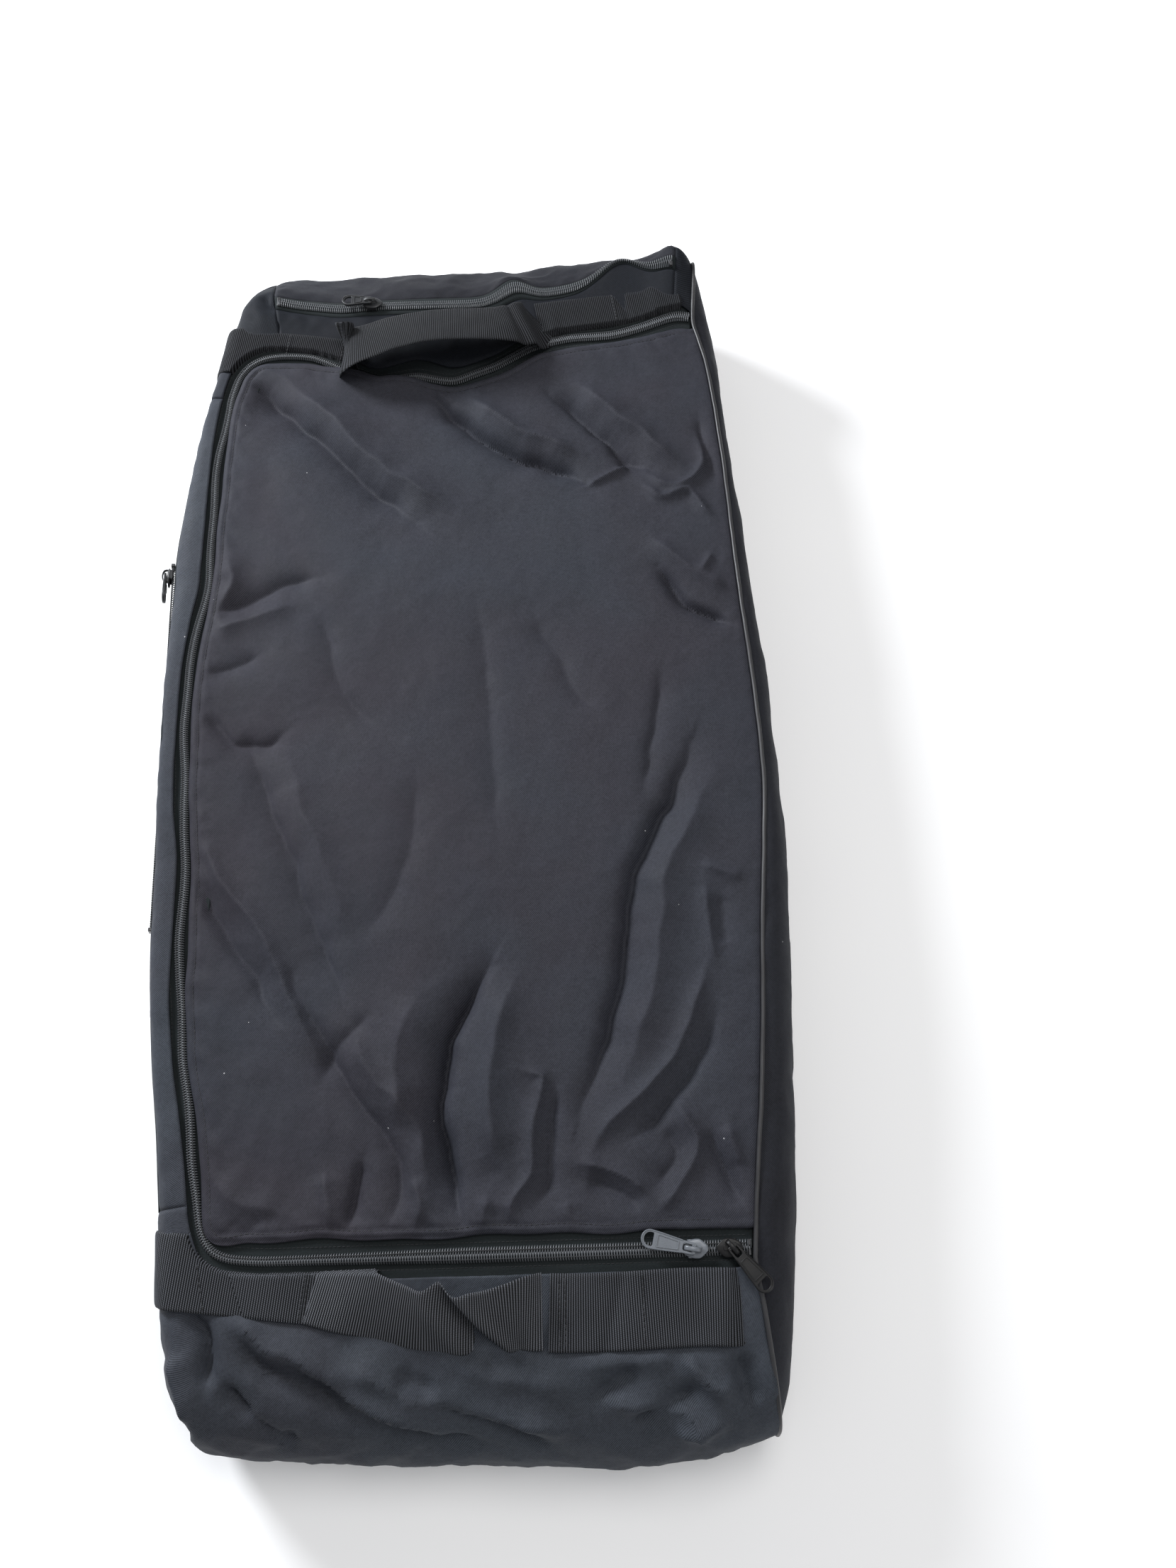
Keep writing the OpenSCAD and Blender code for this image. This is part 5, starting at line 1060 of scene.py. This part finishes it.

# bar tacks across the webbing
def tack_rows():
    rows = []
    def bar(org, ang, lx, v0, v1, z_add=0.0, slant=0.0):
        a = math.radians(ang); n = max(3, int(round((v1 - v0) / 3.6)))
        for k in range(n):
            v = v0 + (v1 - v0) * (k + 0.5) / n; hl = (v1 - v0) / n * 0.36; pts = []
            for t in (-1, -0.5, 0, 0.5, 1):
                ly = v + t * hl; lxx = lx + slant * ly + 0.15 * math.sin(k)
                X0 = org[0] + lxx * math.cos(a) - ly * math.sin(a); Y0 = org[1] + lxx * math.sin(a) + ly * math.cos(a)
                pts.append([X0, Y0, WZ + 2.15 + z_add + float(height(X0, Y0)) - 0.28 * t * t])
            rows.append(pts)
    bar(BL, BA, -4.5, -23, 8, 2.0); bar(BL, BA, -7.5, -23, 8, 2.0); bar(BL, BA, -82, -23, 6, 0.1, -0.35)
    for x in (HX1 + 4, HX1 + 8, HX1 + 62):
        bar((0, by), 0, x, -22, 22, 0.3)
    for x in (-5, -9, -60):
        bar(TL, TA, x, -4, 22, 0.5)
    for x in (5, 9, 70):
        bar(TR_, TB, x, -7, 22, 0.9)
    return tubes("bar_tacks", np.array(rows, float), 0.27, M_THREAD, 5)
ob = tack_rows(); finish_piece(ob, "bag", "thread", "bar_tacks")

# ---------------------------------------------------------------- sliders and pulls
def curve_plate(outer, holes, half, bevel, name):
    """Flat plate with rounded edges from an outline and its holes, in mm, lying in XY."""
    cu = bpy.data.curves.new(name, "CURVE"); cu.dimensions = "2D"; cu.fill_mode = "BOTH"
    cu.extrude = (half - bevel); cu.bevel_depth = bevel; cu.bevel_resolution = 2; cu.offset = -bevel
    for ring in [outer] + list(holes):
        sp = cu.splines.new("POLY"); sp.points.add(len(ring) - 1)
        for p_, (x, y) in zip(sp.points, ring):
            p_.co = (x, y, 0, 1)
        sp.use_cyclic_u = True
    o = bpy.data.objects.new(name, cu); COL.objects.link(o)
    dg = bpy.context.evaluated_depsgraph_get(); me = bpy.data.meshes.new_from_object(o.evaluated_get(dg))
    bpy.data.objects.remove(o); bpy.data.curves.remove(cu)
    V = np.array([v.co[:] for v in me.vertices]); F = [list(p.vertices) for p in me.polygons]
    bpy.data.meshes.remove(me)
    return V, F
def ellipse(cx, cy, a, b, n=28, a0=0, a1=360, power=2.0):
    t = np.radians(np.linspace(a0, a1, n, endpoint=(a1 - a0) < 360))
    c, s_ = np.cos(t), np.sin(t)
    return [(cx + a * np.sign(x) * abs(x) ** (2 / power), cy + b * np.sign(y) * abs(y) ** (2 / power)) for x, y in zip(c, s_)]
def rounded(pts, rad, seg=5):
    """Rounds the corners of a polygon."""
    out = []; n = len(pts)
    for i in range(n):
        p0, p1, p2 = (np.array(pts[k % n], float) for k in (i - 1, i, i + 1))
        a = p0 - p1; b = p2 - p1; la, lb = np.linalg.norm(a), np.linalg.norm(b); r = min(rad, la * 0.45, lb * 0.45)
        A, B = p1 + a / la * r, p1 + b / lb * r
        for t in np.linspace(0, 1, seg):
            out.append(tuple((1 - t) ** 2 * A + 2 * t * (1 - t) * p1 + t * t * B))
    return out
def bar_mesh(pts, w, h, seg=10, power=2.6):
    """A bar of rounded-rectangle section w by h along points in the XZ plane (y = 0) or any 3-D line."""
    P = np.asarray(pts, float); T = np.gradient(P, axis=0); T /= np.linalg.norm(T, axis=1)[:, None]
    Y = np.array([0, 1.0, 0]); Nn = np.cross(T, Y); Nn /= np.linalg.norm(Nn, axis=1)[:, None]
    ring = ellipse(0, 0, w / 2, h / 2, seg * 2, power=power)
    w_ = np.broadcast_to(np.ones(len(P)), (len(P),))
    V = np.concatenate([[p + Y * a + nn * b for a, b in ring] for p, nn in zip(P, Nn)]); m = len(ring); n = len(P)
    F = [[i * m + j, i * m + (j + 1) % m, (i + 1) * m + (j + 1) % m, (i + 1) * m + j] for i in range(n - 1) for j in range(m)]
    F.append(list(range(m))[::-1]); F.append([(n - 1) * m + j for j in range(m)])
    return V, F
def join(parts):
    V, F, k = [], [], 0
    for v, f in parts:
        V.append(np.asarray(v)); F += [[i + k for i in q] for q in f]; k += len(v)
    return np.concatenate(V), F
def lofted(rings, close_top=True):
    """Skin over a stack of closed rings, all with the same number of points."""
    V = np.concatenate(rings); m = len(rings[0]); n = len(rings)
    F = [[i * m + j, i * m + (j + 1) % m, (i + 1) * m + (j + 1) % m, (i + 1) * m + j] for i in range(n - 1) for j in range(m)]
    F.append(list(range(m))[::-1]); F.append([(n - 1) * m + j for j in range(m)])
    return V, F
def plate_outline(k=1.0, inset=0.0, n=72):
    """Slider plate: broad shoulders, a blunt nose and a narrower square tail."""
    t = np.linspace(0, 2 * math.pi, n, endpoint=False); c, s_ = np.cos(t), np.sin(t)
    x = 9.2 * np.sign(c) * np.abs(c) ** 0.72; y = 6.5 * np.sign(s_) * np.abs(s_) ** 0.72
    y = y * (1 - 0.22 * smooth(1.0, -9.1, x) - 0.42 * smooth(2.5, 9.2, x))
    r = np.hypot(x, y); f = (r * k - inset) / r
    return np.stack([x * f, y * f], 1)
def slider_shape(turn=0.0, low=True):
    """Zip slider: winged top plate, side flanges, arched bridge and lower plate. Nose at +X, tape top at z = 0."""
    top = 3.4
    wing = rounded([(-9, -4.6), (-5.5, -6.4), (1.5, -6.4), (8.8, -4.9), (9.1, -2.2), (5.2, 0), (9.1, 2.2), (8.8, 4.9), (1.5, 6.4), (-5.5, 6.4), (-9, 4.6)], 1.8)
    rings = []
    for inset, z in ((0.7, 0.0), (0.15, 0.25), (0.0, 0.6), (0.12, 1.0), (0.5, 1.32), (1.1, 1.5), (2.0, 1.62), (3.2, 1.70), (4.6, 1.74)):
        o = plate_outline(1.0, inset); rings.append(np.column_stack([o, np.full(len(o), top + z)]))
    parts = [lofted(rings)]
    for sg in (-1, 1):
        fl = [(-5.6, 0.9), (-5.0, 4.1), (2.6, 4.1), (3.4, 0.9)]
        V, F = curve_plate(rounded(fl, 0.8), [], 0.65, 0.25, "f")
        V = np.stack([V[:, 0], V[:, 2] + sg * 5.45, V[:, 1]], -1); parts.append((V, F))
    if low:
        V, F = curve_plate([(x * 0.94, y * 0.96) for x, y in plate_outline(1.0, 0.3)][::3], [], 0.5, 0.2, "l"); parts.append((V + [0, 0, -1.7], F))
    # raised rib and bridge
    V, F = curve_plate(rounded([(-7.4, -2.1), (4.6, -1.9), (4.6, 1.9), (-7.4, 2.1)], 1.6), [], 0.5, 0.3, "r"); parts.append((V + [0, 0, top + 1.9], F))
    t = np.linspace(0, 1, 25)
    x = -2 + 5.8 * np.cos(math.pi * (1 - t)); z = top + 1.5 + 5.0 * np.sin(math.pi * t) ** 0.55
    B, FB = bar_mesh(np.stack([x, np.zeros(25), z], -1), 3.1, 1.3)
    c, s_ = math.cos(turn), math.sin(turn)
    Bx = B - [-2, 0, 0]; Bx = np.stack([Bx[:, 0] * c - Bx[:, 1] * s_, Bx[:, 0] * s_ + Bx[:, 1] * c, Bx[:, 2]], -1) + [-2, 0, 0]
    parts.append((Bx, FB))
    return join(parts)
def pull_shape(l=37.0, tip=6.5):
    """Pull tab along -X from its crossbar at the origin: loop at the bridge, sunk plate, open oval at the tip."""
    k = l / 37.0
    neck = 3.9
    out = []
    out += [(1.9, -neck + 0.6), (1.9, neck - 0.6)]
    out += [(0.6, neck), (-8 * k, neck + 0.4)]
    out += ellipse(-l + tip, 0, tip, tip, 22, 84, 276)
    out += [(-8 * k, -neck - 0.4), (0.6, -neck)]
    out = rounded(out, 0.9, 3)
    loop = rounded([(-7.2 * k, -2.5), (0.2, -2.35), (0.2, 2.35), (-7.2 * k, 2.5)], 1.7)
    oval = rounded([(-l + tip + 2.2, -4.5), (-l + tip + 2.2, 4.5)] + ellipse(-l + tip + 0.4, 0, 4.7, 4.6, 14, 100, 260), 0.8, 3)
    V, F = curve_plate(out, [loop, oval], 1.0, 0.38, "p"); parts = [(V, F)]
    # frame round the sunk plate
    a, b = -l + tip + 4.6, -9.0 * k - 1.2
    fr = rounded([(a, -4.5), (b, -3.0), (b, 3.0), (a, 4.5)], 1.0); inn = rounded([(a + 0.8, -3.7), (b - 0.8, -2.3), (b - 0.8, 2.3), (a + 0.8, 3.7)], 0.7)
    V, F = curve_plate(fr, [inn], 0.42, 0.2, "q"); parts.append((V + [0, 0, 1.1], F)); parts.append((V * [1, 1, 1] + [0, 0, -1.1], F))
    # raised rim along both long edges and round the tip
    rim = [(-8 * k, neck + 0.1)] + ellipse(-l + tip, 0, tip - 0.55, tip - 0.55, 22, 84, 276) + [(-8 * k, -neck - 0.1)]
    rp = resample(np.array([[q[0], q[1], 1.0] for q in rim]), 0.8)
    parts.append(tubes_raw(rp[None], 0.5, 8, (0, 0, 1)))
    t = np.linspace(-3.4, 3.4, 5)
    C = tubes_raw(np.stack([np.zeros(5), t, np.zeros(5)], -1)[None], 1.15, 10, (1, 0, 0)); parts.append(C)
    return join(parts)
def tubes_raw(P, r, sides, up):
    P = np.asarray(P, float); T = np.gradient(P, axis=1); T /= np.linalg.norm(T, axis=-1)[..., None]
    A = np.cross(T, np.broadcast_to(np.array(up, float), T.shape)); A /= np.linalg.norm(A, axis=-1)[..., None]; B = np.cross(A, T)
    th = np.arange(sides) * 2 * math.pi / sides
    V = P[0][:, None] + r * (A[0][:, None] * np.cos(th)[None, :, None] + B[0][:, None] * np.sin(th)[None, :, None]); k = P.shape[1]
    F = [[i * sides + j, (i + 1) * sides + j, (i + 1) * sides + (j + 1) % sides, i * sides + (j + 1) % sides] for i in range(k - 1) for j in range(sides)]
    F.append(list(range(sides))); F.append([(k - 1) * sides + j for j in range(sides - 1, -1, -1)])
    return V.reshape(-1, 3), F
def place(VF, M, name, mat, body, slot, cad):
    V, F = VF
    V4 = np.concatenate([V, np.ones((len(V), 1))], 1) @ np.array(M).T
    ob = new_mesh(name, V4[:, :3], F, mat)
    if np.linalg.det(np.array(M)[:3, :3]) < 0:
        ob.data.flip_normals()
    # crisp where the faces meet at an angle
    bm = bmesh.new(); bm.from_mesh(ob.data); bmesh.ops.recalc_face_normals(bm, faces=bm.faces); bm.to_mesh(ob.data); bm.free()
    ob.data.set_sharp_from_angle(angle=math.radians(40))
    return finish_piece(ob, body, slot, cad)
R = lambda a, ax: Matrix.Rotation(math.radians(a), 4, ax)
Tm = lambda x, y, z: Matrix.Translation((x, y, z))
CZ = FZ - 3.0 + 1.0               # top of the CAD's tape
UP = 7.4
place(slider_shape(math.radians(-10)), Tm(170, -384, CZ), "left_slider", M_GREY, "left_slider", "grey_metal", "left_slider")
place(pull_shape(), Tm(168, -384, CZ + UP) @ R(-14, "Z") @ R(-1.5, "Y"), "left_pull", M_GREY, "left_pull", "grey_metal", "left_pull")
place(slider_shape(math.radians(50)), Tm(194, -384, CZ) @ Matrix.Diagonal((-1, 1, 1, 1)), "right_slider", M_BLACK, "right_slider", "black_metal", "right_slider")
place(pull_shape(), Tm(196, -384, CZ + UP) @ R(130, "Z") @ R(5, "Y"), "right_pull", M_BLACK, "right_pull", "black_metal", "right_pull")

# side pocket zip
SA = np.array([-246.64815 + SLIM * 0.82 + 0.3, -140.0, 82.59169]); SB = np.array([-259.48696 + SLIM * 0.82 + 1.3, 190.0, 82.59169])
sX = np.array([0.03887610, -0.99924404, 0]); sY = np.array([0.23621684, 0.00919014, 0.97165691]); sZ = np.array([-0.97092237, -0.03777424, 0.23639555])
def side_frame(y, lift=1.2, out=0.0):
    f = (y - SA[1]) / (SB[1] - SA[1]); o = SA + (SB - SA) * f + sZ * lift - np.array([out, 0, 0])
    return Matrix(((sX[0], sY[0], sZ[0], o[0]), (sX[1], sY[1], sZ[1], o[1]), (sX[2], sY[2], sZ[2], o[2]), (0, 0, 0, 1)))
def straight_teeth(x0, x1, side):
    xs = np.arange(x0, x1, PITCH) + (PITCH / 2 if side > 0 else 0)
    prof = np.array([[4.4, 0.2, -0.2], [4.7, 1.1, -0.15], [4.1, 1.9, -0.1], [2.5, 2.25, 0.05], [0.8, 2.3, 0.1], [-0.5, 2.0, 0.1]])
    P = np.stack([xs[:, None] + prof[None, :, 2], np.broadcast_to(side * prof[None, :, 0], (len(xs), len(prof))), np.broadcast_to(prof[None, :, 1], (len(xs), len(prof)))], -1)
    return P
def to_frame(P, M):
    M = np.array(M); return P @ M[:3, :3].T + M[:3, 3]
for nm, sd in (("a", 1), ("b", -1)):
    P = to_frame(straight_teeth(-169, 153, sd), side_frame(16, 0.2))
    ob = tubes("side_zip_coil_" + nm, P, 0.5, M_COIL_SIDE_SHADE, 6, up=tuple(sZ)); finish_piece(ob, "bag", "zip_coil", "side_zip_coil")
def stop_shape():
    V, F = curve_plate(rounded([(0, -4.8), (3, -4.8), (3, 4.8), (0, 4.8)], 0.8), [], 1.7, 0.4, "s")
    return V + [0, 0, 1.7], F
V, F = join([(stop_shape()[0] + [154.6, 0, 0], stop_shape()[1]), (stop_shape()[0] + [-172.8, 0, 0], stop_shape()[1])])
place((V, F), side_frame(16, 0.4), "side_zip_stops", M_STOP, "bag", "zip_stop", "side_zip_stops")
# the side slider and pull are painted dark: painted shade on grey metal
place(slider_shape(0, False), side_frame(176, 1.2, 0.3), "side_slider", M_SLIDER_SHADE, "side_slider", "grey_metal", "side_slider")
place(pull_shape(26), side_frame(176, 1.2, 0.3) @ Tm(-2, 0, UP) @ R(180, "Z"), "side_pull", M_SLIDER_SHADE, "side_pull", "grey_metal", "side_pull")

# end pocket zip: real run follows the whole seam; its straight middle carries the slider
et = math.radians(5.956109)
def end_frame(x, lift=0.6):
    Y = np.array([0, math.cos(et), -math.sin(et)]); Z = np.array([0, math.sin(et), math.cos(et)]); o = np.array([x, 453.105732, 102.664679]) + Z * lift
    return Matrix(((1, Y[0], Z[0], o[0]), (0, Y[1], Z[1], o[1]), (0, Y[2], Z[2], o[2]), (0, 0, 0, 1)))
def end_route():
    s, v = stations("T", 3, 14, 1.5); out, up = [], []
    for r in v:
        a = np.array(section_pt(r, 10, 0)); b = np.array(section_pt(r, 20, 0)); out.append((a + b) / 2); up.append(b - a)
    P = np.array(out); across = np.array(up); across /= np.linalg.norm(across, axis=1)[:, None]
    return P, across
EP, EA = end_route(); ES = arclen(EP)
def end_teeth(side):
    ss = np.arange(4, ES[-1] - 4, PITCH) + (PITCH / 2 if side > 0 else 0)
    prof = np.array([[4.4, 0.2, -0.2], [4.7, 1.1, -0.15], [4.1, 1.9, -0.1], [2.5, 2.25, 0.05], [0.8, 2.3, 0.1], [-0.5, 2.0, 0.1]])
    q = ss[:, None] + prof[None, :, 2]
    p_ = np.stack([np.interp(q, ES, EP[:, k]) for k in range(3)], -1); a_ = np.stack([np.interp(q, ES, EA[:, k]) for k in range(3)], -1)
    t_ = np.gradient(EP, axis=0); t_ = np.stack([np.interp(q, ES, t_[:, k]) for k in range(3)], -1)
    nn = np.cross(t_, a_); nn /= np.linalg.norm(nn, axis=-1)[..., None]; nn = nn * np.sign(nn[..., 2:3] + 1e-9)
    P = p_ + a_ * (side * prof[None, :, 0])[..., None] + nn * prof[None, :, 1][..., None]
    return body_warp(P)
for nm, sd in (("a", 1), ("b", -1)):
    ob = tubes("end_zip_coil_" + nm, end_teeth(sd), 0.5, M_COIL, 6); finish_piece(ob, "bag", "zip_coil", "end_zip_coil")
Pm = body_warp(np.array([EP[3], EP[-4]]))
V, F = join([(stop_shape()[0] - [1.5, 0, 0] + Pm[0] - [0, 0, 1.2], stop_shape()[1]), (stop_shape()[0] - [1.5, 0, 0] + Pm[1] - [0, 0, 1.2], stop_shape()[1])])
place((V, F), Tm(0, 0, 0), "end_zip_stops", M_STOP, "bag", "zip_stop", "end_zip_stops")
# the end slider and pull are painted dark: painted shade, so they vanish under the top handle
place(slider_shape(0, False), end_frame(-85), "end_slider", M_SLIDER_SHADE, "end_slider", "grey_metal", "end_slider")
place(pull_shape(26), end_frame(-85) @ Tm(-2, 0, UP), "end_pull", M_SLIDER_SHADE, "end_pull", "grey_metal", "end_pull")
# main zip's end stops, by the right slider
V, F = join([(stop_shape()[0] * [0.55, 0.4, 1] + [207.3, -387.3, 0], stop_shape()[1]), (stop_shape()[0] * [0.55, 0.4, 1] + [207.3, -380.7, 0], stop_shape()[1])])
place((V, F), Tm(0, 0, CZ), "zip_end_stops", M_STOP, "bag", "zip_stop", "zip_end_stops")

# ---------------------------------------------------------------- floor and light
floor_glow_mat, nt, bs = mat_new("floor_pale_glowing")
nn = noise(nt, coords(nt, False), 3.0, 2)
nt.links.new(ramp(nt, nn, [(0.3, (0.93, 0.93, 0.935)), (0.7, (0.96, 0.96, 0.96))]), bs.inputs["Base Color"]); bs.inputs["Roughness"].default_value = 0.9
# painted light: the floor glows a little, lifting the bag's cast shadow on it
bs.inputs["Emission Color"].default_value = (1, 1, 1, 1); bs.inputs["Emission Strength"].default_value = 0.10
me = bpy.data.meshes.new("floor"); me.from_pydata([(-6, -6, 0), (6, -6, 0), (6, 6, 0), (-6, 6, 0)], [], [(0, 1, 2, 3)]); me.materials.append(floor_glow_mat)
fl = bpy.data.objects.new("floor", me); COL.objects.link(fl); fl.location.z = -0.0002
w = bpy.data.worlds.new("studio"); bpy.context.scene.world = w; w.use_nodes = True
w.node_tree.nodes["Background"].inputs[0].default_value = (0.95, 0.97, 1.0, 1); w.node_tree.nodes["Background"].inputs[1].default_value = 0.40
def area(name, loc, target, size, power, colour=(1, 1, 1)):
    d_ = bpy.data.lights.new(name, "AREA"); d_.energy = power; d_.size = size; d_.shape = "DISK"; d_.color = colour
    o = bpy.data.objects.new(name, d_); COL.objects.link(o); o.location = loc
    o.rotation_euler = (Vector(target) - Vector(loc)).to_track_quat("-Z", "Y").to_euler()
    return o
area("key", (-1.45, 1.25, 1.05), (0, 0, 0.05), 0.7, 68, (0.93, 0.96, 1.0))
area("top", (0.4, 0.5, 2.3), (0, 0, 0), 1.2, 20, (1.0, 0.98, 0.96))
area("fill", (1.6, -1.0, 1.3), (0, 0, 0.05), 1.2, 6, (1.0, 0.98, 0.97))
bpy.context.scene.view_settings.view_transform = "Standard"
bpy.context.scene.view_settings.look = "None"
